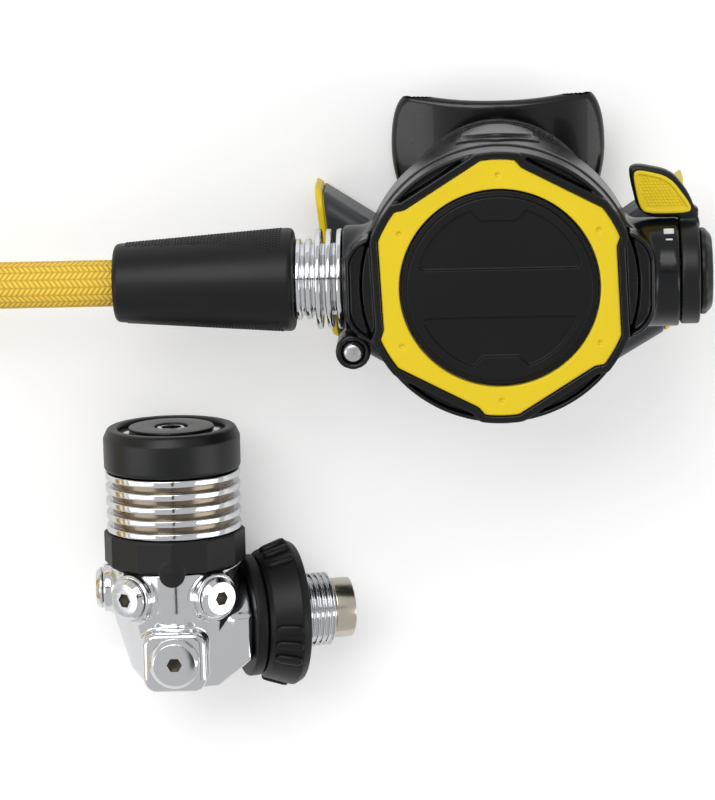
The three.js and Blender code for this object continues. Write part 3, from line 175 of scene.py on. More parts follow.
# Frames of the two stages
def stage_matrix(across, out, origin):
    """Turns millimetres in a stage's own frame into metres in the part's frame."""
    x, z = Vector(across).normalized(), Vector(out).normalized()
    y = z.cross(x)
    turn = Matrix((x, y, z)).transposed().to_4x4()
    return Matrix.Translation(origin) @ turn @ Matrix.Scale(MM, 4)


def second_stage_matrix():
    knob, purge = JOINTS["adjusting_knob_hinge"], JOINTS["purge_press"]
    out = -Vector(purge["axis"])
    origin = Vector(knob["pos_m"]) + out * BARREL_DEPTH * MM
    return stage_matrix(knob["axis"], out, origin)


def first_stage_matrix():
    wheel, valve = JOINTS["handwheel_spin"], JOINTS["inlet_valve_lift"]
    across, up = Vector(wheel["axis"]), -Vector(valve["axis"])
    origin = Vector(wheel["pos_m"]) - across * DIN_AXIS_X * MM - up * DIN_HEIGHT * MM
    return stage_matrix(across, up, origin)


SECOND = second_stage_matrix()
FIRST = first_stage_matrix()
ON_BARREL = SECOND @ Matrix.Translation((0, 0, -BARREL_DEPTH)) @ Matrix.Rotation(math.pi / 2, 4, "Y")
ON_FITTING = FIRST @ Matrix.Translation((0, 0, DIN_HEIGHT)) @ Matrix.Rotation(math.pi / 2, 4, "Y")


def at_port(angle, height):
    """A frame whose z leaves the body at a port."""
    turn = Matrix.Rotation(PORT_FRONT + angle, 4, "Z") @ Matrix.Rotation(math.pi / 2, 4, "Y")
    return FIRST @ Matrix.Translation((0, 0, height)) @ turn


# Distance fields: a shape is where its value is below zero, in millimetres.
def length(*parts):
    return np.sqrt(sum(part * part for part in parts))


def both(a, b, radius=0.0):
    """What two shapes share, with the edge between them rounded."""
    if not radius:
        return np.maximum(a, b)
    outside = length(np.maximum(a + radius, 0), np.maximum(b + radius, 0))
    return np.minimum(np.maximum(a, b), -radius) + outside


def either(a, b, radius=0.0):
    """Two shapes joined, with the corner between them filled."""
    return -both(-a, -b, radius)


def without(a, b, radius=0.0):
    return both(a, -b, radius)


def between(value, low, high):
    return np.abs(value - (low + high) / 2) - (high - low) / 2


def mix(a, b, share):
    return a + (b - a) * share


def block(x, y, half_x, half_y, corner):
    """A rectangle with round corners, in a plane."""
    dx, dy = np.abs(x) - half_x + corner, np.abs(y) - half_y + corner
    outside = length(np.maximum(dx, 0), np.maximum(dy, 0))
    return outside + np.minimum(np.maximum(dx, dy), 0) - corner


def outline_distance(x, y, points):
    """Distance to a closed outline, below zero inside it."""
    nearest = np.full(np.broadcast(x, y).shape, np.inf)
    sign = np.ones(nearest.shape)
    for (ax, ay), (bx, by) in zip(points, points[1:] + points[:1]):
        ex, ey = bx - ax, by - ay
        wx, wy = x - ax, y - ay
        along = np.clip((wx * ex + wy * ey) / (ex * ex + ey * ey), 0, 1)
        nearest = np.minimum(nearest, (wx - ex * along) ** 2 + (wy - ey * along) ** 2)
        above, below = y >= ay, y < by
        left = ex * wy > ey * wx
        crossing = (above & below & left) | (~above & ~below & ~left)
        sign = np.where(crossing, -sign, sign)
    return sign * np.sqrt(nearest)


def polygon(x, y, sides, apothem, turn=0.0):
    """A regular polygon in a plane, given the distance of its sides from the middle."""
    angle = np.arctan2(y, x) - turn
    sector = 2 * math.pi / sides
    nearest = np.mod(angle + sector / 2, sector) - sector / 2
    return length(x, y) * np.cos(nearest) - apothem


# Meshes
def link(mesh, name, matrix, material):
    """A piece at the origin, with its place in its mesh."""
    mesh.transform(matrix)
    mesh.shade_smooth()
    piece = bpy.data.objects.new(name, mesh)
    bpy.context.scene.collection.objects.link(piece)
    mesh.materials.append(material)
    return piece


def field_piece(name, field, low, high, cell, matrix, material):
    """Turns a distance field into a mesh of even squares that lie on its surface."""
    places, quads = surface_net(field, low, high, cell)
    mesh = bpy.data.meshes.new(name)
    mesh.from_pydata(places.tolist(), [], quads.tolist())
    mesh.update()
    return link(mesh, name, matrix, material)


CORNERS = [(i, j, k) for i in (0, 1) for j in (0, 1) for k in (0, 1)]


def surface_net(field, low, high, cell):
    low = np.array(low, float)
    counts = [int(math.ceil((b - a) / cell)) + 1 for a, b in zip(low, high)]
    axes = [low[i] + cell * np.arange(counts[i]) for i in range(3)]
    grid = np.meshgrid(*axes, indexing="ij", sparse=True)
    values = np.broadcast_to(field(*grid), counts).astype(np.float32)
    inside = values < 0
    shape = [count - 1 for count in counts]
    crossing = np.zeros(shape, np.int8)
    for i, j, k in CORNERS:
        crossing += inside[i:i + shape[0], j:j + shape[1], k:k + shape[2]]
    active = (crossing > 0) & (crossing < 8)
    cells = np.argwhere(active)
    index = np.full(shape, -1, np.int64)
    index[active] = np.arange(len(cells))
    found = [values[tuple((cells + corner).T)] for corner in CORNERS]
    total, hits = np.zeros((len(cells), 3)), np.zeros(len(cells))
    for a, corner_a in enumerate(CORNERS):
        for b, corner_b in enumerate(CORNERS):
            if b <= a or sum(abs(p - q) for p, q in zip(corner_a, corner_b)) != 1:
                continue
            cut = (found[a] < 0) != (found[b] < 0)
            share = np.where(cut, found[a] / np.where(cut, found[a] - found[b], 1), 0)
            start, way = np.array(corner_a), np.array(corner_b) - np.array(corner_a)
            total += np.where(cut[:, None], start + share[:, None] * way, 0)
            hits += cut
    places = low + cell * (cells + total / hits[:, None])
    places = settle(field, places, cell)
    return places, net_faces(inside, index)


def net_faces(inside, index):
    quads = []
    for axis in range(3):
        ahead = np.moveaxis(inside, axis, 0)
        here, there = ahead[:-1, 1:-1, 1:-1], ahead[1:, 1:-1, 1:-1]
        found = np.moveaxis(index, axis, 0)
        spots = np.argwhere(here != there)
        i, j, k = spots[:, 0], spots[:, 1] + 1, spots[:, 2] + 1
        ring = np.stack([found[i, j - 1, k - 1], found[i, j, k - 1], found[i, j, k], found[i, j - 1, k]], 1)
        outward = here[tuple(spots.T)]
        if axis == 1:
            outward = ~outward
        ring[~outward] = ring[~outward][:, ::-1]
        quads.append(ring)
    return np.concatenate(quads)


def settle(field, places, cell, rounds=3):
    """Moves points onto the surface, along the slope of the field."""
    reach = cell * 0.05
    for _ in range(rounds):
        slopes = []
        for axis in range(3):
            shift = np.zeros(3)
            shift[axis] = reach
            ahead, behind = (places + shift).T, (places - shift).T
            slopes.append((field(*ahead) - field(*behind)) / (2 * reach))
        slope = np.stack(slopes, 1)
        size = np.maximum((slope ** 2).sum(1), 0.05)
        move = -(field(*places.T) / size)[:, None] * slope
        far = np.maximum(np.abs(move).max(1), 1e-9)
        places = places + move * np.minimum(1, 0.5 * cell / far)[:, None]
    return places


def lathe(name, profile, matrix, material, segments=96, ripple=None):
    """Turns a closed profile of (radius, height) or (radius, height, sides) about z. A ring
    with sides is a polygon, and ripple changes a ring's radius with the angle."""
    mesh = bpy.data.meshes.new(name)
    turned = zip(profile, profile[1:] + profile[:1])
    if sum(a[0] * b[1] - b[0] * a[1] for a, b in turned) < 0:
        profile = profile[::-1]
    places, faces, rings = [], [], []
    for radius, height, *sides in profile:
        if radius <= 0:
            rings.append([len(places)] * segments)
            places.append((0, 0, height))
            continue
        start = len(places)
        for i in range(segments):
            angle = 2 * math.pi * i / segments
            reach = radius
            if sides:
                sector = 2 * math.pi / sides[0]
                reach = radius / math.cos((angle + sector / 2) % sector - sector / 2)
            if ripple:
                reach = ripple(reach, height, angle)
            places.append((reach * math.cos(angle), reach * math.sin(angle), height))
        rings.append(list(range(start, start + segments)))
    closed = profile[0][0] > 0
    pairs = list(zip(rings, rings[1:] + rings[:1] if closed else rings[1:]))
    for low, high in pairs:
        for i in range(segments):
            j = (i + 1) % segments
            face = list(dict.fromkeys((low[i], low[j], high[j], high[i])))
            if len(face) > 2:
                faces.append(face)
    mesh.from_pydata(places, [], faces)
    mesh.update()
    piece = link(mesh, name, matrix, material)
    mesh.set_sharp_from_angle(angle=math.radians(38))
    return piece


def rounded(profile, radius, steps=4):
    """A profile whose corners are replaced by arcs, each as large as its sides allow."""
    points = [Vector((p[0], p[1])) for p in profile]
    extras = [p[2:] for p in profile]
    count = len(points)
    made = []
    for i, here in enumerate(points):
        before, after = points[i - 1], points[(i + 1) % count]
        back, ahead = before - here, after - here
        if here.x <= 0 or back.length < 1e-6 or ahead.length < 1e-6 or extras[i]:
            made.append((here.x, here.y, *extras[i]))
            continue
        turn = back.angle(ahead)
        if turn > math.radians(160):
            made.append((here.x, here.y))
            continue
        reach = min(radius / math.tan(turn / 2), back.length * 0.45, ahead.length * 0.45)
        start, end = here + back.normalized() * reach, here + ahead.normalized() * reach
        for k in range(steps + 1):
            share = k / steps
            bend = start * (1 - share) ** 2 + here * 2 * share * (1 - share) + end * share ** 2
            made.append((bend.x, bend.y))
    return made


def sweep(name, path, radius, sides, material, wraps):
    """A round tube along points in the part's frame, with a wrap map around and along it."""
    points = [Vector(p) for p in path]
    side = Vector((0, 0, 1))
    places, along, far = [], [], 0.0
    for i, point in enumerate(points):
        heading = (points[min(i + 1, len(points) - 1)] - points[max(i - 1, 0)]).normalized()
        side = (side - heading * side.dot(heading)).normalized()
        other = heading.cross(side)
        far += (point - points[i - 1]).length if i else 0.0
        along.append(far)
        for k in range(sides):
            angle = 2 * math.pi * k / sides
            places.append(point + (side * math.cos(angle) + other * math.sin(angle)) * radius)
    faces, wrap = [], []
    for i in range(len(points) - 1):
        for k in range(sides):
            n = (k + 1) % sides
            faces.append((i * sides + k, i * sides + n, (i + 1) * sides + n, (i + 1) * sides + k))
            low, high = along[i] / wraps, along[i + 1] / wraps
            wrap += [(k / sides, low), ((k + 1) / sides, low), ((k + 1) / sides, high), (k / sides, high)]
    for ring, turn in ((0, -1), (len(points) - 1, 1)):
        cap = [ring * sides + k for k in range(sides)]
        faces.append(cap[::turn])
        wrap += [(0.5, along[ring] / wraps)] * sides
    mesh = bpy.data.meshes.new(name)
    mesh.from_pydata(places, [], faces)
    layer = mesh.uv_layers.new(name="Wrap")
    layer.data.foreach_set("uv", np.array(wrap, np.float32).ravel())
    mesh.update()
    return link(mesh, name, Matrix.Identity(4), material)


# Repeats
def repeat_tree():
    """Geometry nodes that put a copy on every point, facing along two stored directions."""
    tree = bpy.data.node_groups.get("Repeat on points")
    if tree:
        return tree
    tree = bpy.data.node_groups.new("Repeat on points", "GeometryNodeTree")
    face = tree.interface
    face.new_socket(name="Points", in_out="INPUT", socket_type="NodeSocketGeometry")
    face.new_socket(name="Copy", in_out="INPUT", socket_type="NodeSocketObject")
    face.new_socket(name="Size", in_out="INPUT", socket_type="NodeSocketFloat")
    face.new_socket(name="Finish", in_out="INPUT", socket_type="NodeSocketMaterial")
    face.new_socket(name="Pieces", in_out="OUTPUT", socket_type="NodeSocketGeometry")
    nodes, links = tree.nodes, tree.links
    start, end = nodes.new("NodeGroupInput"), nodes.new("NodeGroupOutput")
    source = nodes.new("GeometryNodeObjectInfo")
    links.new(start.outputs["Copy"], source.inputs["Object"])
    turn = None
    for name, axis in (("outward", "Z"), ("onward", "X")):
        stored = nodes.new("GeometryNodeInputNamedAttribute")
        stored.data_type = "FLOAT_VECTOR"
        stored.inputs["Name"].default_value = name
        align = nodes.new("FunctionNodeAlignRotationToVector")
        align.axis = axis
        align.pivot_axis = "AUTO" if turn is None else "Z"
        links.new(stored.outputs["Attribute"], align.inputs["Vector"])
        if turn:
            links.new(turn, align.inputs["Rotation"])
        turn = align.outputs["Rotation"]
    spread = nodes.new("GeometryNodeInstanceOnPoints")
    links.new(start.outputs["Points"], spread.inputs["Points"])
    links.new(source.outputs["Geometry"], spread.inputs["Instance"])
    links.new(turn, spread.inputs["Rotation"])
    links.new(start.outputs["Size"], spread.inputs["Scale"])
    real = nodes.new("GeometryNodeRealizeInstances")
    links.new(spread.outputs["Instances"], real.inputs["Geometry"])
    paint = nodes.new("GeometryNodeSetMaterial")
    links.new(real.outputs["Geometry"], paint.inputs["Geometry"])
    links.new(start.outputs["Finish"], paint.inputs["Material"])
    links.new(paint.outputs["Geometry"], end.inputs["Pieces"])
    return tree


def repeat(name, spots, copy_mesh, size, matrix, material):
    """Copies of a small mesh on spots of (place, outward, onward) in a stage's frame."""
    points = bpy.data.meshes.new(name)
    points.from_pydata([spot[0] for spot in spots], [], [])
    points.transform(matrix)
    turn = matrix.to_3x3().normalized()
    for at, label in ((1, "outward"), (2, "onward")):
        stored = points.attributes.new(label, "FLOAT_VECTOR", "POINT")
        facing = [turn @ Vector(spot[at]) for spot in spots]
        stored.data.foreach_set("vector", np.array(facing, np.float32).ravel())
    holder = bpy.data.objects.new(name, points)
    bpy.context.scene.collection.objects.link(holder)
    copy = bpy.data.objects.new(name + "_copy", copy_mesh)
    bpy.context.scene.collection.objects.link(copy)
    tree = repeat_tree()
    work = holder.modifiers.new("Repeat", "NODES")
    work.node_group = tree
    sockets = {item.name: item.identifier for item in tree.interface.items_tree}
    work[sockets["Copy"]] = copy
    work[sockets["Size"]] = size
    work[sockets["Finish"]] = material
    graph = bpy.context.evaluated_depsgraph_get()
    mesh = bpy.data.meshes.new_from_object(holder.evaluated_get(graph))
    holder.modifiers.remove(work)
    holder.data = mesh
    mesh.shade_smooth()
    bpy.data.objects.remove(copy)
    return holder


def dome_mesh(sides, flatness):
    """A low round stud of radius 1 whose open underside is closed by one face."""
    places, faces = [], []
    for radius, height in ((1, -0.2), (1, 0), (0.72, 0.7)):
        for i in range(sides):
            angle = 2 * math.pi * i / sides
            places.append((radius * math.cos(angle), radius * math.sin(angle), height * flatness))
    places.append((0, 0, flatness))
    for ring in (0, 1):
        for i in range(sides):
            j = (i + 1) % sides
            low, high = ring * sides, (ring + 1) * sides
            faces.append((low + i, low + j, high + j, high + i))
    top = 2 * sides
    faces += [(top + i, top + (i + 1) % sides, 3 * sides) for i in range(sides)]
    faces.append(tuple(reversed(range(sides))))
    mesh = bpy.data.meshes.new("stud")
    mesh.from_pydata(places, [], faces)
    return mesh


def rib_mesh(half_length, half_width, height):
    """A bar with a rounded back that lies along x."""
    places, faces = [], []
    for share, low in ((1, -height), (1, 0.2 * height), (0.86, 0.8 * height), (0.6, height)):
        half = half_width * share
        reach = half_length - half_width * (1 - share)
        corners = [(-reach + half, -half), (reach - half, -half), (reach, -half * 0.45)]
        corners += [(reach, half * 0.45), (reach - half, half), (-reach + half, half)]
        corners += [(-reach, half * 0.45), (-reach, -half * 0.45)]
        places += [(x, y, low) for x, y in corners]
    for ring in range(3):
        for i in range(8):
            j = (i + 1) % 8
            low, high = ring * 8, (ring + 1) * 8
            faces.append((low + i, low + j, high + j, high + i))
    faces.append(tuple(range(24, 32)))
    faces.append(tuple(reversed(range(8))))
    mesh = bpy.data.meshes.new("rib")
    mesh.from_pydata(places, [], faces)
    return mesh


# Finishes
def variation_group():
    """A fine grain and slow patches, both from 0 to 1, that materials mix into their values."""
    group = bpy.data.node_groups.get("Surface variation")
    if group:
        return group
    group = bpy.data.node_groups.new("Surface variation", "ShaderNodeTree")
    face = group.interface
    for label, value in (("Grain scale", 900.0), ("Patch scale", 35.0)):
        socket = face.new_socket(name=label, in_out="INPUT", socket_type="NodeSocketFloat")
        socket.default_value = value
    for label in ("Grain", "Patches", "Scuffs"):
        face.new_socket(name=label, in_out="OUTPUT", socket_type="NodeSocketFloat")
    nodes, links = group.nodes, group.links
    start, end = nodes.new("NodeGroupInput"), nodes.new("NodeGroupOutput")
    where, mapping = nodes.new("ShaderNodeTexCoord"), nodes.new("ShaderNodeMapping")
    links.new(where.outputs["Object"], mapping.inputs["Vector"])
    for label, source, detail in (("Grain", "Grain scale", 2.0), ("Patches", "Patch scale", 4.0)):
        noise = nodes.new("ShaderNodeTexNoise")
        noise.inputs["Detail"].default_value = detail
        links.new(mapping.outputs["Vector"], noise.inputs["Vector"])
        links.new(start.outputs[source], noise.inputs["Scale"])
        links.new(noise.outputs["Fac"], end.inputs[label])
    stretch = nodes.new("ShaderNodeMapping")
    stretch.inputs["Scale"].default_value = (1.0, 7.0, 3.0)
    stretch.inputs["Rotation"].default_value = (0.3, 0.2, 0.9)
    scratch, narrow = nodes.new("ShaderNodeTexNoise"), nodes.new("ShaderNodeMapRange")
    scratch.inputs["Scale"].default_value = 260.0
    scratch.inputs["Detail"].default_value = 3.0
    narrow.inputs["From Min"].default_value = 0.62
    narrow.inputs["From Max"].default_value = 0.78
    links.new(where.outputs["Object"], stretch.inputs["Vector"])
    links.new(stretch.outputs["Vector"], scratch.inputs["Vector"])
    links.new(scratch.outputs["Fac"], narrow.inputs["Value"])
    links.new(narrow.outputs["Result"], end.inputs["Scuffs"])
    return group


def finish(name, colour, roughness, metallic=0.0, spread=0.08, tint=0.25, bump=0.0, grain=900.0,
           patches=35.0, coat=0.0, shine=0.36):
    """A material whose colour, roughness and height vary a little over the surface."""
    made = bpy.data.materials.get(name)
    if made:
        return made
    made = bpy.data.materials.new(name)
    made.use_nodes = True
    nodes, links = made.node_tree.nodes, made.node_tree.links
    shader = nodes["Principled BSDF"]
    shader.inputs["Metallic"].default_value = metallic
    shader.inputs["Coat Weight"].default_value = coat
    shader.inputs["Specular IOR Level"].default_value = 0.5 if metallic else shine
    vary = nodes.new("ShaderNodeGroup")
    vary.node_tree = variation_group()
    vary.inputs["Grain scale"].default_value = grain
    vary.inputs["Patch scale"].default_value = patches
    paint = nodes.new("ShaderNodeMix")
    paint.data_type = "RGBA"
    paint.inputs[6].default_value = (*[c * (1 - tint) for c in colour], 1)
    paint.inputs[7].default_value = (*[min(1, c * (1 + tint)) for c in colour], 1)
    links.new(vary.outputs["Patches"], paint.inputs[0])
    links.new(paint.outputs[2], shader.inputs["Base Color"])
    rough = nodes.new("ShaderNodeMapRange")
    rough.inputs["To Min"].default_value = max(0.02, roughness - spread)
    rough.inputs["To Max"].default_value = roughness + spread
    links.new(vary.outputs["Patches"], rough.inputs["Value"])
    worn = nodes.new("ShaderNodeMath")
    worn.operation = "MULTIPLY_ADD"
    worn.inputs[1].default_value = 0.12
    links.new(vary.outputs["Scuffs"], worn.inputs[0])
    links.new(rough.outputs["Result"], worn.inputs[2])
    links.new(worn.outputs["Value"], shader.inputs["Roughness"])
    if bump:
        relief = nodes.new("ShaderNodeBump")
        relief.inputs["Strength"].default_value = bump
        relief.inputs["Distance"].default_value = 0.0001
        links.new(vary.outputs["Grain"], relief.inputs["Height"])
        links.new(relief.outputs["Normal"], shader.inputs["Normal"])
    return made


def math_node(nodes, links, operation, *values):
    """A Math node whose inputs are links or plain numbers."""
    node = nodes.new("ShaderNodeMath")
    node.operation = operation
    for i, value in enumerate(values):
        if isinstance(value, (int, float)):
            node.inputs[i].default_value = value
        else:
            links.new(value, node.inputs[i])
    return node.outputs["Value"]


def braid_group():
    """A herringbone braid on a wrap map: columns of slanted strands, each against its neighbour. Its Shade output
    is painted shade, darker towards the low parts between the strands.
    """
    group = bpy.data.node_groups.get("Herringbone braid")
    if group:
        return group
    group = bpy.data.node_groups.new("Herringbone braid", "ShaderNodeTree")
    face = group.interface
    for label, value in (("Columns", BRAID_COLUMNS), ("Strand width", STRAND_WIDTH), ("Slant", 1.0)):
        socket = face.new_socket(name=label, in_out="INPUT", socket_type="NodeSocketFloat")
        socket.default_value = value
    for label in ("Height", "Shade"):
        face.new_socket(name=label, in_out="OUTPUT", socket_type="NodeSocketFloat")
    nodes, links = group.nodes, group.links
    start, end = nodes.new("NodeGroupInput"), nodes.new("NodeGroupOutput")
    wrap, parts = nodes.new("ShaderNodeUVMap"), nodes.new("ShaderNodeSeparateXYZ")
    wrap.uv_map = "Wrap"
    links.new(wrap.outputs["UV"], parts.inputs["Vector"])

    def maths(operation, *values):
        return math_node(nodes, links, operation, *values)

    column = maths("MULTIPLY", parts.outputs["X"], start.outputs["Columns"])
    across = maths("FRACT", column)
    side = maths("MULTIPLY_ADD", maths("GREATER_THAN", maths("FRACT", maths("MULTIPLY", column, 0.5)), 0.5),
                 2.0, -1.0)
    lean = maths("MULTIPLY", maths("MULTIPLY", maths("SUBTRACT", across, 0.5), side), start.outputs["Slant"])
    phase = maths("FRACT",
                  maths("ADD", maths("DIVIDE", parts.outputs["Y"], start.outputs["Strand width"]), lean))
    strand = maths("SINE", maths("MULTIPLY", phase, math.pi))
    edge = maths("SINE", maths("MULTIPLY", across, math.pi))
    round_edge = maths("POWER", edge, 0.35)
    height = maths("MULTIPLY", maths("POWER", strand, 0.6), round_edge)
    links.new(height, end.inputs["Height"])
    # Shade follows the strands' height: painted shade in the crevices of the braid.
    links.new(maths("POWER", height, 0.7), end.inputs["Shade"])
    return group


def braid_finish(strand=STRAND_WIDTH):
    made = bpy.data.materials.get("Yellow braid")
    if made:
        return made
    made = finish("Yellow braid", (0.95, 0.63, 0.07), 0.66, spread=0.06, tint=0.08, patches=60.0)
    nodes, links = made.node_tree.nodes, made.node_tree.links
    shader = nodes["Principled BSDF"]
    braid = nodes.new("ShaderNodeGroup")
    braid.node_tree = braid_group()
    braid.inputs["Strand width"].default_value = strand
    # Mixes towards a darker yellow by the braid's Shade: painted shade between the strands.
    strand_shade = nodes.new("ShaderNodeMix")
    strand_shade.data_type = "RGBA"
    strand_shade.inputs[6].default_value = (0.46, 0.27, 0.02, 1)
    old = shader.inputs["Base Color"].links[0].from_socket
    links.new(old, strand_shade.inputs[7])
    links.new(braid.outputs["Shade"], strand_shade.inputs[0])
    links.new(strand_shade.outputs[2], shader.inputs["Base Color"])
    relief = nodes.new("ShaderNodeBump")
    relief.inputs["Strength"].default_value = 0.9
    relief.inputs["Distance"].default_value = 0.0004
    links.new(braid.outputs["Height"], relief.inputs["Height"])
    links.new(relief.outputs["Normal"], shader.inputs["Normal"])
    return made


def cover_rubber():
    return finish("Cover rubber", (0.004, 0.0042, 0.0045), 0.44, bump=0.35, grain=1500.0, shine=0.24)


def ring_plastic():
    return finish("Ring plastic", (0.0035, 0.0037, 0.0042), 0.25, spread=0.05, bump=0.05)


def shell_plastic():
    return finish("Shell plastic", (0.0045, 0.005, 0.0062), 0.2, spread=0.06, bump=0.05)


def satin_plastic():
    return finish("Satin plastic", (0.005, 0.0054, 0.006), 0.36, spread=0.06, bump=0.2, grain=1800.0)


def yellow_plastic():
    return finish("Yellow plastic", (0.78, 0.58, 0.012), 0.36, spread=0.05, tint=0.05, bump=0.05)


def sleeve_rubber():
    return finish("Sleeve rubber", (0.005, 0.0053, 0.0057), 0.4, bump=0.3, grain=1600.0, shine=0.28)


def mouth_rubber():
    return finish("Mouthpiece rubber", (0.0036, 0.0036, 0.004), 0.22, bump=0.06, coat=0.2)


def wheel_rubber():
    return finish("Wheel rubber", (0.0045, 0.0045, 0.0049), 0.4, bump=0.3, grain=1400.0, shine=0.26)


def tee_rubber():
    return finish("Tee rubber", (0.027, 0.031, 0.036), 0.28, bump=0.15)


def chrome_metal():
    return finish("Chrome", (0.74, 0.75, 0.77), 0.1, metallic=1.0, spread=0.04, tint=0.03)


def groove_painted_shade():
    # Painted shade: a dark brownish metal for the floors of the barrel's grooves, where shade falls.
    return finish("Groove painted shade", (0.20, 0.165, 0.12), 0.2, metallic=1.0, spread=0.05, tint=0.1)


def socket_painted_shade():
    # Painted shade: a dark floor that stands in for the shade deep in the plugs' hex sockets.
    return finish("Socket painted shade", (0.055, 0.048, 0.04), 0.4, metallic=1.0, tint=0.1)


def nickel_metal():
    return finish("Warm nickel", (0.63, 0.58, 0.49), 0.2, metallic=1.0, spread=0.05, tint=0.06)


def steel_metal():
    return finish("Turned steel", (0.60, 0.60, 0.61), 0.26, metallic=1.0, tint=0.05)


def brass_metal():
    return finish("Turned brass", (0.62, 0.44, 0.19), 0.28, metallic=1.0, tint=0.08)


def plain_rubber():
    return finish("Black rubber", (0.006, 0.006, 0.0064), 0.5, bump=0.2)


def clear_silicone():
    return finish("Silicone", (0.55, 0.57, 0.59), 0.4, bump=0.05)


def white_mark():
    return finish("White mark", (0.75, 0.75, 0.74), 0.45, tint=0.04)


# What each slot of the record looks like on a node that keeps its CAD mesh
SLOT_FINISHES = {
    "soft_cover": cover_rubber,
    "yellow_trim": yellow_plastic,
    "black_shell": satin_plastic,
    "silicone": clear_silicone,
    "steel": steel_metal,
    "brass": brass_metal,
    "black_rubber": plain_rubber,
    "chrome": chrome_metal,
    "grey_rubber": tee_rubber,
    "nickel": nickel_metal,
    "yellow_braid": braid_finish,
}


def place(piece, body, slot, *nodes):
    """Fixes a piece to its body and hides the nodes that it stands for. Its slot is not used."""
    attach(piece, body)
    if nodes:
        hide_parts(*nodes)
    return piece


# Outlines
def soften(points, rounds=2, share=0.25):
    """Cuts the corners of a closed outline."""
    for _ in range(rounds):
        cut = []
        for (ax, ay), (bx, by) in zip(points, points[1:] + points[:1]):
            cut.append((mix(ax, bx, share), mix(ay, by, share)))
            cut.append((mix(ax, bx, 1 - share), mix(ay, by, 1 - share)))
        points = cut
    return points


def bezel_outline():
    """Six lobes, each with one step down to the straight edge that follows it."""
    points = []
    for lobe in range(LOBES):
        middle = math.pi / 2 - lobe * 2 * math.pi / LOBES
        for share in (-1, -0.6, -0.2, 0.2, 0.6, 1):
            angle = middle - share * LOBE_HALF_ANGLE
            points.append((LOBE_RADIUS * math.cos(angle), LOBE_RADIUS * math.sin(angle)))
        down = middle - LOBE_HALF_ANGLE - STEP_ANGLE
        reach = CHORD / math.cos(down - middle + math.pi / LOBES)
        points.append((reach * math.cos(down), reach * math.sin(down)))
    return points


def cover_recess_outline(side):
    """A D with a notch in its round edge."""
    radius, band, edge, floor, depth = 24.6, 5.8 if side > 0 else 8.5, 8.15, 5.1, 3.0
    corner = 1.6
    points = [(0, band)]
    start = math.asin(band / radius)
    points.append((radius * math.cos(start) - corner, band))
    points.append((radius * math.cos(start + 0.02) - 0.35 * corner, band + 0.35 * corner))
    top = math.acos(edge / radius)
    for i in range(13):
        angle = mix(start + corner / radius, top, i / 12)
        points.append((radius * math.cos(angle), radius * math.sin(angle)))
    rim = radius * math.sin(top)
    points.append((floor, rim - depth))
    mirrored = [(-x, y) for x, y in reversed(points[1:])]
    return [(x, y * side) for x, y in points + mirrored]


BEZEL = bezel_outline()
COVER_RECESSES = [cover_recess_outline(1), cover_recess_outline(-1)]


def ellipse(x, y, a, b):
    near, slope = length(x / a, y / b), length(x / a ** 2, y / b ** 2)
    return near * (near - 1) / np.maximum(slope, 1e-6)


# Cover and rings
BEZEL_BORE = 29.5
BEZEL_CORNER = 0.25
BEZEL_EDGE = 0.35
BEZEL_GAP = 0.25
BEZEL_SEAT = -2.9
DIMPLE_REACH = 33.6
DIMPLE_RADIUS = 0.8
DIMPLE_EDGE = 0.15
RING_SHOULDER = 0.4
RING_EDGE = 0.5
RING_STEP = -6.2
RING_FRONT_BORE = 30.8
RING_REAR_BORE = 36.4
RIM_WIDTH = 2.5
RIM_REAR = -6
RIM_FRONT = 0.1
RIM_EDGE = 0.4
RIM_BLEND = 0.3
POCKET_REACH = 39.3
POCKET_START = 2.7
POCKET_HALF_HEIGHT = 14.4
POCKET_FLOOR = -3.9
POCKET_EDGE = 0.4
POCKET_CORNER = 0.3
COVER_REAR = -3.4
COVER_FLANGE = -1.2
COVER_EDGE = 0.4
COVER_FACE_RADIUS = 27.4
COVER_FACE_EDGE = 0.5
COVER_BLEND = 0.3
RECESS_FLOOR = -0.75
RECESS_CORNER = 0.2
RECESS_EDGE = 0.25


def bezel_field(x, y, z):
    flat = both(outline_distance(x, y, BEZEL), BEZEL_BORE - length(x, y), BEZEL_CORNER)
    ring = both(flat, between(z, BEZEL_REAR, BEZEL_FRONT), BEZEL_EDGE)
    for i in range(LOBES):
        angle = math.pi / 2 + i * 2 * math.pi / LOBES
        away = length(x - DIMPLE_REACH * math.cos(angle), y - DIMPLE_REACH * math.sin(angle),
                      z - BEZEL_FRONT)
        ring = without(ring, away - DIMPLE_RADIUS, DIMPLE_EDGE)
    return ring


def ring_field(x, y, z):
    radius = length(x, y)
    out = outline_distance(x, y, BEZEL)
    body = both(radius - RING_RADIUS, between(z, RING_REAR, RING_FRONT - RING_SHOULDER), RING_EDGE)
    rim = both(out - RIM_WIDTH, radius - RING_RADIUS, RIM_BLEND)
    rim = both(rim, between(z, RIM_REAR, RIM_FRONT), RIM_EDGE)
    ring = either(body, rim, RIM_BLEND)
    lip = both(radius - POCKET_REACH, POCKET_START - out, POCKET_EDGE)
    sides = both(between(y, -POCKET_HALF_HEIGHT, POCKET_HALF_HEIGHT), POCKET_START - out, POCKET_EDGE)
    pocket = both(np.minimum(lip, sides), POCKET_FLOOR - z, POCKET_CORNER)
    ring = without(ring, pocket, POCKET_CORNER)
    ring = without(ring, both(out - BEZEL_GAP, BEZEL_SEAT - z))
    return without(ring, radius - np.where(z > RING_STEP, RING_FRONT_BORE, RING_REAR_BORE))


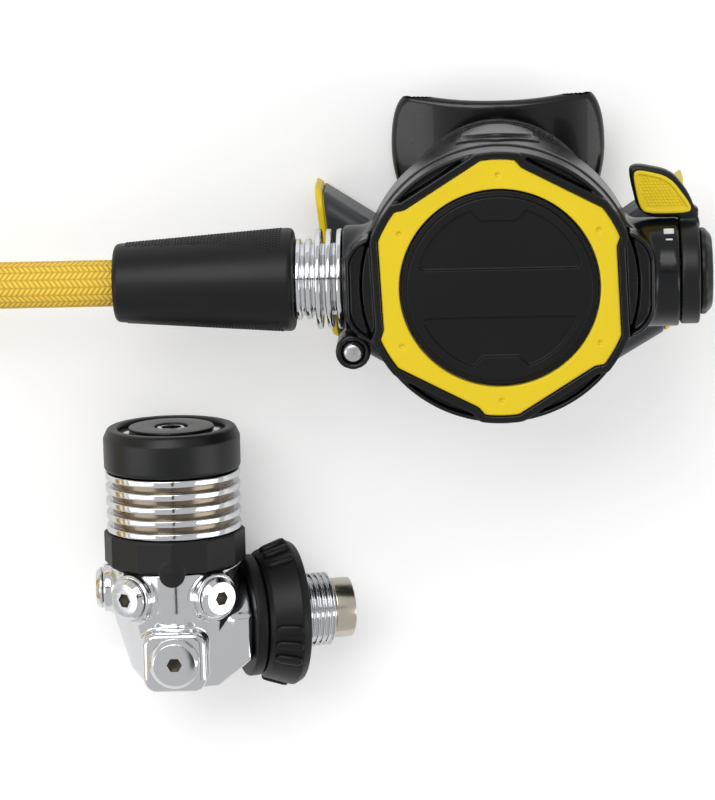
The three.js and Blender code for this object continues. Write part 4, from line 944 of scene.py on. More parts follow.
def cover_field(x, y, z):
    radius = length(x, y)
    cover = both(radius - COVER_RADIUS, between(z, COVER_REAR, COVER_FLANGE), COVER_EDGE)
    face = both(radius - COVER_FACE_RADIUS, between(z, COVER_REAR, 0.0), COVER_FACE_EDGE)
    cover = either(cover, face, COVER_BLEND)
    for points in COVER_RECESSES:
        recess = both(outline_distance(x, y, points), RECESS_FLOOR - z, RECESS_CORNER)
        cover = without(cover, recess, RECESS_EDGE)
    return cover


# Case
TAPER_LIMIT_SHARE = 1.2
TAPER_SLOPE = 0.85
CUT_REACH = 60
CASE_EDGE = 1.5
CASE_LIP = 0.9
CASE_LIP_FRONT = -50.5
CASE_LIP_EDGE = 0.4
CASE_LIP_BLEND = 0.3
EAR_HALF_HEIGHT = 16
EAR_CORNER = 10
EAR_REAR = -29.6
EAR_FRONT = -4.1
EAR_EDGE = 1.0
EAR_BLEND = 2.0
EAR_RIM = 1.2
EAR_RIM_REAR = -8
EAR_RIM_FRONT = -1.4
EAR_RIM_EDGE = 0.4
EAR_RIM_BLEND = 0.3
LEFT_BARREL_RADIUS = 15.9
RIGHT_BARREL_RADIUS = 16.2
BARREL_EDGE = 0.8
BARREL_BLEND = 1.5
PIN_REACH = 43.8
PIN_DROP = 19.5
PIN_HOLE_RADIUS = 3.6
PIN_HOLE_FLOOR = -19
PIN_PROFILE = [(0, -18.6), (3.2, -18.6), (3.2, -6.6), (2.4, -5.2), (0, -4.9)]
PIN_ROUNDING = 1.2
BOSS_RADIUS = 5.2
BOSS_REAR = -20
BOSS_FRONT = -6
BOSS_EDGE = 0.8
BOSS_BLEND = 1.0
RING_SEAT_RADIUS = 40.9
CASE_NECK_RADIUS = 36
CASE_NECK_REAR = -12.5
CASE_NECK_FRONT = -7.8
CASE_NECK_EDGE = 0.2
CHAMBER_FRONT = -13.5
CHAMBER_EDGE = 1.5
FRONT_BORE_RADIUS = 33.4
FRONT_BORE_FLOOR = -14.5
VALVE_BORE = 7.9
INLET_BORE = 9.8
INLET_BORE_DEPTH = 2
KNOB_BORE = 10
SPIGOT_HALF_WIDTH = 15.3
SPIGOT_HALF_HEIGHT = 8.8
SPIGOT_CUT_DEPTH = 50
BADGE_DEPTH = 31
BADGE_SIDES = 6
BADGE_APOTHEM = 12.6
BADGE_RISE = 0.45
BADGE_EDGE = 0.25
BADGE_SINK = 0.6
BADGE_BLEND = 0.3
DOME_DEPTH = 32
DOME_HALF_WIDTH = 11
DOME_HALF_HEIGHT = 9.5
DOME_RISE = 1.15
DOME_EDGE = 0.5


def case_shell(x, y, z, inset=0.0):
    share = np.clip((CASE_TAPER - z) / (CASE_TAPER - CASE_REAR), 0, TAPER_LIMIT_SHARE)
    lift = (CASE_RADIUS - NECK_RADIUS) * share
    return (length(x, y - lift) - (CASE_RADIUS - lift - inset)) * TAPER_SLOPE


def barrel(x, y, z, radius, start, end, edge):
    return both(length(y, z + BARREL_DEPTH) - radius, between(x, start, end), edge)


def ear_field(x, y, z):
    """The straight ends left and right of the cover, with their raised rims."""
    block_out = block(x, y, EAR_REACH, EAR_HALF_HEIGHT, EAR_CORNER)
    block_in = block(x, y, EAR_REACH - EAR_RIM, EAR_HALF_HEIGHT - EAR_RIM, EAR_CORNER - EAR_RIM)
    ears = both(block_out, between(z, EAR_REAR, EAR_FRONT), EAR_EDGE)
    rim = both(block_out, -block_in, EAR_RIM_BLEND)
    return either(ears, both(rim, between(z, EAR_RIM_REAR, EAR_RIM_FRONT), EAR_RIM_EDGE), EAR_RIM_BLEND)


def case_field(x, y, z):
    radius = length(x, y)
    pin = length(x + PIN_REACH, y + PIN_DROP)
    case = both(case_shell(x, y, z), between(z, CASE_REAR, CASE_FRONT), CASE_EDGE)
    lip = both(case_shell(x, y, z, -CASE_LIP), between(z, CASE_REAR, CASE_LIP_FRONT), CASE_LIP_EDGE)
    case = either(case, lip, CASE_LIP_BLEND)
    case = either(case, ear_field(x, y, z), EAR_BLEND)
    case = either(case, barrel(x, y, z, LEFT_BARREL_RADIUS, LEFT_END, 0, BARREL_EDGE), BARREL_BLEND)
    case = either(case, barrel(x, y, z, RIGHT_BARREL_RADIUS, 0, RIGHT_END, BARREL_EDGE), BARREL_BLEND)
    boss = both(pin - BOSS_RADIUS, between(z, BOSS_REAR, BOSS_FRONT), BOSS_EDGE)
    case = either(case, boss, BOSS_BLEND)
    case = without(case, both(radius - RING_SEAT_RADIUS, CASE_FRONT - z))
    neck = both(radius - CASE_NECK_RADIUS, between(z, CASE_NECK_REAR, CASE_NECK_FRONT), CASE_NECK_EDGE)
    case = np.minimum(case, neck)
    hollow = between(z, CASE_REAR + CASE_WALL, CHAMBER_FRONT)
    hollow = both(case_shell(x, y, z, CASE_WALL), hollow, CHAMBER_EDGE)
    front_bore = both(radius - FRONT_BORE_RADIUS, FRONT_BORE_FLOOR - z)
    case = without(case, np.minimum(hollow, front_bore))
    case = without(case, barrel(x, y, z, VALVE_BORE, -CUT_REACH, 0, 0))
    case = without(case, barrel(x, y, z, INLET_BORE, -CUT_REACH, LEFT_END + INLET_BORE_DEPTH, 0))
    case = without(case, barrel(x, y, z, KNOB_BORE, 0, CUT_REACH, 0))
    spigot = ellipse(x, y - SPIGOT_Y, SPIGOT_HALF_WIDTH, SPIGOT_HALF_HEIGHT)
    case = without(case, both(spigot, z + SPIGOT_CUT_DEPTH))
    return without(case, both(pin - PIN_HOLE_RADIUS, PIN_HOLE_FLOOR - z))


def badge_field(x, y, z):
    away = case_shell(x, y, z)
    panel = both(polygon(x, z + BADGE_DEPTH, BADGE_SIDES, BADGE_APOTHEM), away - BADGE_RISE, BADGE_EDGE)
    dome = both(ellipse(x, z + DOME_DEPTH, DOME_HALF_WIDTH, DOME_HALF_HEIGHT), away - DOME_RISE, DOME_EDGE)
    return both(both(either(panel, dome, BADGE_BLEND), -away - BADGE_SINK), -y)


# Mouthpiece and exhaust
SHIELD_SHARES = [(0, 0.1), (0.42, 0.02), (0.7, 0), (0.9, 0.12), (1, 0.42), (1, 0.7), (0.95, 0.9),
                 (0.86, 1), (0.76, 0.99), (0.38, 0.95), (0, 0.94)]
SHIELD_HALF_WIDTH = 33
SHIELD_BOTTOM = 9.5
SHIELD_HEIGHT = 38.5
SHIELD_BEND = 7
SHIELD_REAR = -67.2
SHIELD_FRONT = -62.4
SHIELD_EDGE = 2.2
MOUTH_HALF_WIDTH = 18.5
MOUTH_HALF_HEIGHT = 12
MOUTH_REAR = -65
MOUTH_FRONT = -55.3
MOUTH_EDGE = 0.8
MOUTH_BLEND = 2.5
MOUTH_BORE_HALF_WIDTH = 12.6
MOUTH_BORE_HALF_HEIGHT = 6.1
MOUTH_BORE_EDGE = 0.8
SPIGOT_SEAT = -63.9
TAB_REACH = 19
TAB_HALF_WIDTH = 5
TAB_HALF_HEIGHT = 1.5
TAB_CORNER = 1.3
TAB_REAR = -78.8
TAB_EDGE = 1.0
TAB_BLEND = 1.0
GRIP_HALF_HEIGHT = 4.5
GRIP_CORNER = 2
GRIP_FRONT = -75.8
GRIP_EDGE = 1.2
GRIP_BLEND = 0.8
STRAP_HALF_WIDTH = 20.2
STRAP_HALF_HEIGHT = 13.7
STRAP_INNER_HALF_WIDTH = 18.8
STRAP_INNER_HALF_HEIGHT = 12.3
STRAP_REAR = -60.4
STRAP_FRONT = -57
STRAP_CORNER = 0.2
STRAP_EDGE = 0.4
LOCK_HEIGHT = 14.4
LOCK_HALF_WIDTH = 2.5
LOCK_HALF_HEIGHT = 2.1
LOCK_CORNER = 0.5
LOCK_BLEND = 0.3
TEE_ROOT = 24
TEE_LIMIT_SHARE = 1.3
TEE_ROOT_BOTTOM = -37
TEE_TIP_BOTTOM = -24
TEE_ROOT_TOP = 4
TEE_TIP_TOP = 20
TEE_ROOT_FRONT = 33
TEE_TIP_FRONT = 47
TEE_ROOT_REAR = 62
TEE_TIP_REAR = 72
TEE_CORNER = 6
TEE_SLANT = 2
TEE_WALL = 2
TEE_EDGE = 0.4
TRIM_REACH = 2.5
TRIM_EDGE = 0.7
TRIM_CORNER = 0.5


def shield_outline():
    half = [(SHIELD_HALF_WIDTH * x, SHIELD_BOTTOM + SHIELD_HEIGHT * y) for x, y in SHIELD_SHARES]
    return soften(half + [(-x, y) for x, y in reversed(half[1:-1])], 2)


SHIELD = shield_outline()


def mouthpiece_field(x, y, z):
    bent = z + SHIELD_BEND * (x / SHIELD_HALF_WIDTH) ** 2
    up = y - SPIGOT_Y
    shape = both(outline_distance(x, y, SHIELD), between(bent, SHIELD_REAR, SHIELD_FRONT), SHIELD_EDGE)
    collar = ellipse(x, up, MOUTH_HALF_WIDTH, MOUTH_HALF_HEIGHT)
    shape = either(shape, both(collar, between(z, MOUTH_REAR, MOUTH_FRONT), MOUTH_EDGE), MOUTH_BLEND)
    aside = np.abs(x) - TAB_REACH
    tab = block(aside, up, TAB_HALF_WIDTH, TAB_HALF_HEIGHT, TAB_CORNER)
    shape = either(shape, both(tab, between(z, TAB_REAR, MOUTH_REAR), TAB_EDGE), TAB_BLEND)
    grip = block(aside, up, TAB_HALF_WIDTH, GRIP_HALF_HEIGHT, GRIP_CORNER)
    shape = either(shape, both(grip, between(z, TAB_REAR, GRIP_FRONT), GRIP_EDGE), GRIP_BLEND)
    spigot = ellipse(x, up, SPIGOT_HALF_WIDTH, SPIGOT_HALF_HEIGHT)
    shape = without(shape, both(spigot, SPIGOT_SEAT - z))
    bore = ellipse(x, up, MOUTH_BORE_HALF_WIDTH, MOUTH_BORE_HALF_HEIGHT)
    return without(shape, bore, MOUTH_BORE_EDGE)


def strap_field(x, y, z):
    up = y - SPIGOT_Y
    outer = ellipse(x, up, STRAP_HALF_WIDTH, STRAP_HALF_HEIGHT)
    inner = ellipse(x, up, STRAP_INNER_HALF_WIDTH, STRAP_INNER_HALF_HEIGHT)
    across = between(z, STRAP_REAR, STRAP_FRONT)
    band = both(both(outer, -inner, STRAP_CORNER), across, STRAP_EDGE)
    lock = block(x, up - LOCK_HEIGHT, LOCK_HALF_WIDTH, LOCK_HALF_HEIGHT, LOCK_CORNER)
    return either(band, both(lock, across, LOCK_CORNER), LOCK_BLEND)


def tee_section(x, y, z, inset):
    """Distance to the tee's duct, and how far along it a point is."""
    share = np.clip((np.abs(x) - TEE_ROOT) / (TEE_TIP - TEE_ROOT), 0, TEE_LIMIT_SHARE)
    low, high = mix(TEE_ROOT_BOTTOM, TEE_TIP_BOTTOM, share), mix(TEE_ROOT_TOP, TEE_TIP_TOP, share)
    front, rear = mix(TEE_ROOT_FRONT, TEE_TIP_FRONT, share), mix(TEE_ROOT_REAR, TEE_TIP_REAR, share)
    up, back = y - (low + high) / 2, -z - (front + rear) / 2
    section = block(up, back, (high - low) / 2 - inset, (rear - front) / 2 - inset, TEE_CORNER - inset)
    along = np.abs(x) - TEE_SLANT * share * (2 * up / (high - low))
    return section, along


def tee_field(x, y, z):
    outer, along = tee_section(x, y, z, 0)
    inner, _ = tee_section(x, y, z, TEE_WALL)
    duct = both(both(outer, along - TEE_TIP, TEE_EDGE), -inner, TEE_EDGE)
    return without(duct, case_shell(x, y, z, -GAP), TEE_EDGE)


def trim_field(x, y, z):
    outer, along = tee_section(x, y, z, 0)
    inner, _ = tee_section(x, y, z, TEE_WALL)
    trim = both(outer, between(along, TEE_TIP + GAP, TEE_TIP + TRIM_REACH), TRIM_EDGE)
    return both(trim, -inner, TRIM_CORNER)


# Flow lever
PADDLE_SHARES = [(0.16, 0), (0, 0.9), (0.12, 1), (0.62, 0.86), (0.87, 0.45), (1, 0)]
PAD_SHARES = [(0.24, 0.1), (0.15, 0.27), (0.07, 0.85), (0.17, 0.91), (0.6, 0.77), (0.9, 0.24), (0.88, 0.1)]
PADDLE_CUT_SHARE = 0.2
PADDLE_HALF_THICKNESS = 2.5
PADDLE_EDGE = 1.2
PADDLE_BLEND = 1.0
LEVER_RING_RADIUS = 15.6
LEVER_EDGE = 0.7
LEVER_BORE = 8
LEVER_BORE_EDGE = 0.3
ROOT_HALF_WIDTH = 2.8
ROOT_HALF_HEIGHT = 2.6
ROOT_Y = 16.4
ROOT_CORNER = 0.4
ROOT_EDGE = 0.6
ROOT_BLEND = 1.5
PAD_REAR = -18.2
PAD_FRONT = -16.8
PAD_EDGE = 0.4
PAD_RIM = 1.1
PAD_FLOOR = -17.3
PAD_FLOOR_EDGE = 0.15


def paddle_outline(shares):
    wide = LEVER_END - PADDLE_LEFT
    places = [(PADDLE_LEFT + wide * x, PADDLE_BOTTOM + PADDLE_HEIGHT * y) for x, y in shares]
    return soften(places, 2, PADDLE_CUT_SHARE)


PADDLE = paddle_outline(PADDLE_SHARES)
PAD = paddle_outline(PAD_SHARES)


def lever_field(x, y, z):
    deep = z + BARREL_DEPTH
    thick = between(deep, -PADDLE_HALF_THICKNESS, PADDLE_HALF_THICKNESS)
    ring = both(length(y, deep) - LEVER_RING_RADIUS, between(x, LEVER_START, LEVER_END), LEVER_EDGE)
    paddle = both(outline_distance(x, y, PADDLE), thick, PADDLE_EDGE)
    root = block(x - LEVER_END + ROOT_HALF_WIDTH, y - ROOT_Y, ROOT_HALF_WIDTH, ROOT_HALF_HEIGHT, ROOT_CORNER)
    lever = either(either(ring, paddle, PADDLE_BLEND), both(root, thick, ROOT_EDGE), ROOT_BLEND)
    return without(lever, length(y, deep) - LEVER_BORE, LEVER_BORE_EDGE)


def pad_field(x, y, z):
    out = outline_distance(x, y, PAD)
    pad = both(out, between(z, PAD_REAR, PAD_FRONT), PAD_EDGE)
    return without(pad, both(out + PAD_RIM, PAD_FLOOR - z, PAD_FLOOR_EDGE), PAD_FLOOR_EDGE)


# First stage
def port_places():
    """The plugs round the body: node, angle, height, radius and face."""
    low = LOW_PORT_HEIGHT, LOW_PLUG_RADIUS
    side = SIDE_PORT_HEIGHT, SIDE_PLUG_RADIUS
    ports = [("inlet_plug_front", 0.0, *low, FRONT_PORT_FACE),
             ("inlet_plug_rear", math.pi, *low, REAR_PORT_FACE)]
    for i, angle in enumerate(SIDE_PORT_ANGLES):
        ports.append((f"lp_plug_{i + 1}", math.radians(angle), *side, SIDE_PORT_FACE))
    return ports


BODY_PROFILE = [(-5, 0.8), (10.6, 0.8), (14.0, 5.3), (19.5, 25.1), (19.5, 36.7), (-5, 36.7)]
KEEL = [(-8, 0), (9.5, 0), (20.6, 7.6), (20.6, 22), (-8, 22)]


def body_field(x, y, z):
    body = outline_distance(length(x, y), z, BODY_PROFILE) - 0.8
    body = either(body, both(length(y, z - DIN_HEIGHT) - 13.4, between(x, 0, 20.6), 0.8), 2.0)
    keel = both(outline_distance(x, z, KEEL), np.abs(y) - 14.2, 1.6)
    body = either(body, keel, 1.5)
    holes = []
    for _, angle, height, radius, face in port_places():
        turn = PORT_FRONT + angle
        out, side = x * math.cos(turn) + y * math.sin(turn), y * math.cos(turn) - x * math.sin(turn)
        up = z - height
        if radius > SIDE_PLUG_RADIUS:
            boss = both(block(side, up, 9.6, 9.2, 4), between(out, 0, face - 0.3), 1.6)
        else:
            boss = both(length(side, up) - 7.4, between(out, 0, face - 0.3), 0.7)
        body = either(body, boss, 1.2)
        holes.append(both(length(side, up) - 4.7, face - 7 - out))
    body = both(body, -z, 0.5)
    for hole in holes:
        body = without(body, hole)
    body = without(body, both(length(x, y) - 12.4, 24 - z))
    body = without(body, both(length(x, y) - 4.2, between(z, 6, 25)))
    body = without(body, both(length(y, z - DIN_HEIGHT) - 2.6, between(x, 0, 22)))
    return without(body, both(length(y, z - DIN_HEIGHT) - 6.5, 13.3 - x))


def collar_field(x, y, z):
    ring = both(polygon(x, y, 12, 21.0), between(z, COLLAR_BOTTOM, COLLAR_TOP), 0.6)
    out = x * math.cos(PORT_FRONT) + y * math.sin(PORT_FRONT)
    side = y * math.cos(PORT_FRONT) - x * math.sin(PORT_FRONT)
    tab = both(length(side, z - COLLAR_BOTTOM) - 4, both(length(x, y) - 21.4, 20.6 - length(x, y)), 0.3)
    ring = either(ring, both(tab, -out), 0.4)
    return without(ring, length(x, y) - 17.4)


def plate_field(x, y, z):
    angle = np.mod(np.arctan2(y, x) + math.pi / 6, math.pi / 3) - math.pi / 6
    reach = 13.4 + 2.4 * np.clip(1 - np.abs(angle) / 0.42, 0, 1) ** 0.8
    star = length(x, y) - reach
    return both(both(star, between(z, 77.5, 78.4), 0.25), 5.2 - length(x, y))


# Groups of settings
class HoseSettings(bpy.types.PropertyGroup):
    radius: FloatProperty(name="Hose radius", description="Radius of the braided hose",
                          default=HOSE_RADIUS * MM, min=0.004, max=0.012, unit="LENGTH")
    length: FloatProperty(name="Hose length", description="Length from ferrule to ferrule",
                          default=HOSE_LENGTH, min=0.5, max=1.2, unit="LENGTH")
    strand: FloatProperty(name="Strand width",
                          description="Width of one strand of the braid, in millimetres",
                          default=STRAND_WIDTH, min=0.5, max=3, subtype="FACTOR")


class MouldSettings(bpy.types.PropertyGroup):
    detail: FloatProperty(name="Detail", description="Size of the mesh squares against their usual size",
                          default=1.0, min=0.5, max=4, subtype="FACTOR")
    stud: FloatProperty(name="Grip stud radius",
                        description="Radius of the small studs of the sleeve and the lever pad",
                        default=0.0005, min=0.0002, max=0.001, unit="LENGTH")


class CameraSettings(bpy.types.PropertyGroup):
    target: FloatVectorProperty(name="Target", description="Point in the middle of the picture",
                                default=(-0.0108, -0.0013, 0.0298), subtype="TRANSLATION", unit="LENGTH")
    distance: FloatProperty(name="Distance", description="From the target to the camera", default=1.070,
                            min=0.3, max=5, unit="LENGTH")
    lens: FloatProperty(name="Lens", description="Focal length", default=156.6, min=20, max=400,
                        unit="CAMERA")


class StudioSettings(bpy.types.PropertyGroup):
    key: FloatProperty(name="Key light", description="Power of the large soft light", default=11.0, min=0,
                       max=200, unit="POWER")
    fill: FloatProperty(name="Fill light", description="Power of the side lights", default=3.5, min=0,
                        max=200, unit="POWER")
    surround: FloatProperty(name="Surround", description="Brightness of the studio walls", default=0.6,
                            min=0, max=2, subtype="FACTOR")
    glow: FloatProperty(name="Paper glow",
                        description="Brightness added to the paper as the camera sees it", default=0.2,
                        min=0, max=1, subtype="FACTOR")
    floor: FloatVectorProperty(name="Floor colour", description="Colour of the paper under the set",
                               default=(0.93, 0.93, 0.93), min=0, max=1, subtype="COLOR")


SETTINGS = (
    ("hose_settings", HoseSettings),
    ("mould_settings", MouldSettings),
    ("camera_settings", CameraSettings),
    ("studio_settings", StudioSettings),
)


def fine(context, cell):
    return cell * context.scene.mould_settings.detail


# Operators
class REGULATOR_OT_camera(bpy.types.Operator):
    """Sets the camera where the photographer stood"""
    bl_idname = "regulator.camera"
    bl_label = "Camera"

    def execute(self, context):
        chosen = context.scene.camera_settings
        right, up = Vector(CAMERA_RIGHT), Vector(CAMERA_UP)
        back = right.cross(up).normalized()
        up = back.cross(right).normalized()
        turn = Matrix((right.normalized(), up, back)).transposed().to_4x4()
        data = bpy.data.cameras.new("Camera")
        data.lens = chosen.lens
        data.sensor_width = data.sensor_height = 36
        data.sensor_fit = "AUTO"
        data.clip_end = 20
        camera = bpy.data.objects.new("Camera", data)
        camera.matrix_world = Matrix.Translation(Vector(chosen.target) + back * chosen.distance) @ turn
        context.scene.collection.objects.link(camera)
        context.scene.camera = camera
        return {"FINISHED"}


def hose_path():
    """Points of the hose's middle, close together, from its ferrule to its other end."""
    def straight(x):
        return SECOND @ Vector((x, 0, -BARREL_DEPTH))

    start, end = straight(HOSE_START), straight(HOSE_START - HOSE_STRAIGHT)
    points = [start.lerp(end, i / 20) for i in range(20)]
    knots = [start, end, straight(HOSE_START - HOSE_STRAIGHT - 7)] + [Vector(p) for p in HOSE_ROUTE]
    knots.append(knots[-1] + Vector((-0.014, 0, 0)))
    for i in range(1, len(knots) - 2):
        a, b, c, d = knots[i - 1:i + 3]
        for k in range(8):
            t = k / 8
            square = 2 * a - 5 * b + 4 * c - d
            cube = 3 * b - a - 3 * c + d
            points.append((2 * b + (c - a) * t + square * t * t + cube * t ** 3) / 2)
    last = knots[-2]
    steps = 150
    for i in range(steps + 1):
        share = i / steps
        angle = math.pi / 2 + share * COIL_TURNS * 2 * math.pi
        radius = COIL_RADIUS - COIL_PITCH * COIL_TURNS * share
        rise = COIL_RISE * max(0, (share - COIL_RISE_SHARE) / (1 - COIL_RISE_SHARE))
        middle = (last.x - 2 * HOSE_RADIUS * MM, last.y - COIL_RADIUS)
        x, y = middle[0] + radius * math.cos(angle), middle[1] + radius * math.sin(angle)
        points.append(Vector((x, y, last.z + rise)))
    heading = points[-1] - points[-2]
    heading.z = 0
    heading.normalize()
    base = points[-1].copy()
    points += [base + heading * 2 * HOSE_RADIUS * MM * k / 4 for k in range(1, 5)]
    return points, heading


class REGULATOR_OT_hose(bpy.types.Operator):
    """Lays the braided hose in a flat coil, with the fitting at its other end"""
    bl_idname = "regulator.hose"
    bl_label = "Hose"

    def execute(self, context):
        chosen = context.scene.hose_settings
        path, heading = hose_path()
        hose = sweep("braided_hose", path, chosen.radius, 40, braid_finish(chosen.strand), MM)
        place(hose, "set_body", "yellow_braid", "hose", "hose_coil")
        turn = Vector((0, 0, 1)).rotation_difference(heading).to_matrix().to_4x4()
        end = Matrix.Translation(path[-1]) @ turn @ Matrix.Scale(MM, 4)
        ferrule = rounded([(2, 0.3), (8, 0.3), (8, 14.3), (2, 14.3)], 0.6)
        ferrule = lathe("far_ferrule", ferrule, end, steel_metal())
        nut = [(2, 14.6), (7.1, 14.6, HEX_SIDES), (7.5, 15.1, HEX_SIDES), (7.5, 21.1, HEX_SIDES),
               (7.1, 21.6, HEX_SIDES), (5.6, 21.6)]
        for i in range(6):
            nut += [(4.3, 22.4 + i), (4.8, 22.9 + i)]
        nut += [(4.3, 29.1), (4.1, 29.6), (2, 29.6)]
        fitting = lathe("far_fitting", nut, end, chrome_metal())
        ring = torus("far_oring", 5.9, 0.8, 22.7, end)
        place(ferrule, "set_body", "steel", "hose_end_ferrule")
        place(fitting, "set_body", "chrome", "hose_end_fitting")
        place(ring, "set_body", "black_rubber", "hose_end_oring")
        tuple(path[0])
        [tuple(p) for p in path]
        return {"FINISHED"}


def torus(name, radius, wire, height, matrix):
    profile = []
    for i in range(16):
        angle = 2 * math.pi * i / 16
        profile.append((radius + wire * math.cos(angle), height + wire * math.sin(angle)))
    return lathe(name, profile, matrix, plain_rubber(), 64)


class REGULATOR_OT_front(bpy.types.Operator):
    """Builds the purge cover, the yellow ring and the ring around them"""
    bl_idname = "regulator.front"
    bl_label = "Cover and rings"

    def execute(self, context):
        cell = fine(context, 0.36)
        cover = field_piece("cover", cover_field, (-29.6, -29.6, -4), (29.6, 29.6, 0.6), cell, SECOND,
                            cover_rubber())
        place(cover, "cover", "soft_cover", "purge_cover")
        bezel = field_piece("bezel", bezel_field, (-39, -39, -3.2), (39, 39, 0.3), cell, SECOND,
                            yellow_plastic())
        place(bezel, "set_body", "yellow_trim", "bezel_ring")
        ring = field_piece("outer_ring", ring_field, (-41.2, -41.2, -11.2), (41.2, 41.2, 0.7), cell, SECOND,
                           ring_plastic())
        place(ring, "set_body", "black_shell", "front_ring")
        return {"FINISHED"}


class REGULATOR_OT_case(bpy.types.Operator):
    """Builds the second stage's case with its badge plate and pin"""
    bl_idname = "regulator.case"
    bl_label = "Case"

    def execute(self, context):
        shell = field_piece("shell", case_field, (-50.5, -42.5, -57), (56.5, 43.5, 0), fine(context, 0.75),
                            SECOND, shell_plastic())
        place(shell, "set_body", "black_shell", "case")
        badge = field_piece("badge", badge_field, (-16, 30, -49), (16, 44, -13), fine(context, 0.4), SECOND,
                            shell_plastic())
        place(badge, "set_body", "black_shell", "neck_badge")
        profile = rounded(PIN_PROFILE, PIN_ROUNDING, 6)
        at_pin = SECOND @ Matrix.Translation((-PIN_REACH, -PIN_DROP, 0))
        pin = lathe("pin", profile, at_pin, steel_metal(), 48)
        place(pin, "set_body", "steel", "locking_pin")
        marks = [dial_mark((54, 62), (48.4, 51.4)), dial_mark((45.5, 47.5), (48.9, 50.9))]
        for i, mesh in enumerate(marks):
            mark = link(mesh, f"dial_mark_{i + 1}", SECOND, white_mark())
            place(mark, "set_body", "black_shell")
        return {"FINISHED"}


def dial_mark(angles, along):
    """A thin painted mark on the right barrel, between two angles from the front towards +y."""
    radius, rows, columns = 16.24, 8, 4
    places, faces = [], []
    for layer in (0.0, -0.2):
        for i in range(rows + 1):
            share = i / rows
            angle = math.radians(mix(angles[0], angles[1], share))
            for k in range(columns + 1):
                reach = mix(*along, k / columns)
                out = radius + layer
                places.append((reach, out * math.sin(angle), out * math.cos(angle) - BARREL_DEPTH))
    row, layer = columns + 1, (rows + 1) * (columns + 1)
    for i in range(rows):
        for k in range(columns):
            a = i * row + k
            faces.append((a, a + 1, a + row + 1, a + row)[::-1])
            faces.append((a + layer, a + layer + 1, a + layer + row + 1, a + layer + row))
    edge = [k for k in range(row)] + [i * row + columns for i in range(1, rows + 1)]
    edge += [rows * row + k for k in range(columns - 1, -1, -1)] + [i * row for i in range(rows - 1, 0, -1)]
    for a, b in zip(edge, edge[1:] + edge[:1]):
        faces.append((a, b, b + layer, a + layer)[::-1])
    mesh = bpy.data.meshes.new("mark")
    mesh.from_pydata(places, [], faces)
    return mesh


class REGULATOR_OT_inlet(bpy.types.Operator):
    """Builds the finned coupling and the sleeve over the hose's end"""
    bl_idname = "regulator.inlet"
    bl_label = "Coupling and sleeve"

    def execute(self, context):
        profile = [(7.9, COUPLING_START), (10.8, COUPLING_START)]
        for i in range(5):
            reach, edge = (15, 15, 15, 12.1, 12.1)[i], COUPLING_START - i * FIN_PITCH
            profile += [(reach, edge), (reach, edge - FIN_THICKNESS)]
            if i < 4:
                profile += [(10.8, edge - FIN_THICKNESS - 0.1), (10.8, edge - FIN_PITCH + 0.1)]
        back = COUPLING_START - 4 * FIN_PITCH - FIN_THICKNESS
        profile += [(8, back), (8, back - 5), (3, back - 5), (3, back + 1.3), (7.9, back + 1.3)]
        coupling = lathe("coupling", rounded(profile, 0.75, 5), ON_BARREL, chrome_metal(), ROUND_SIDES)
        place(coupling, "set_body", "chrome", "inlet_coupling")
        end = NUT_START - SLEEVE_LENGTH
        profile = [(10.6, NUT_START), (15.6, NUT_START), (11.7, end), (7.4, end)]
        profile += [(7.4, HOSE_START - 4.2), (10.6, HOSE_START - 1)]
        sleeve = lathe("sleeve", rounded(profile, 2.2, 8), ON_BARREL, sleeve_rubber(), ROUND_SIDES)
        place(sleeve, "sleeve", "black_rubber", "hose_sleeve")
        size = context.scene.mould_settings.stud
        studs = repeat("sleeve_studs", sleeve_spots(end), dome_mesh(6, 0.5), size, ON_BARREL, sleeve_rubber())
        place(studs, "sleeve", "black_rubber")
        return {"FINISHED"}


def sleeve_spots(end):
    """Rows of studs on the upper and lower flanks, wider towards the coupling."""
    spots = []
    rows = 48
    for i in range(rows):
        height = mix(NUT_START - 4, end + 4, i / (rows - 1))
        share = (NUT_START - height) / SLEEVE_LENGTH
        radius = mix(15.6, 11.7, share) - 0.02
        first = math.radians(np.interp(share, [0, 0.5, 1], [42, 66, 78]))
        pitch = 1.14 / radius
        count = int((math.pi - 2 * first) / pitch)
        for k in range(count + 1):
            angle = math.pi / 2 + (k - count / 2 + (i % 2) * 0.5 - 0.25) * pitch
            for side in (1, -1):
                out = Vector((-math.cos(angle), side * math.sin(angle), 0))
                spots.append((out * radius + Vector((0, 0, height)), out, Vector((0, 0, 1))))
    return spots


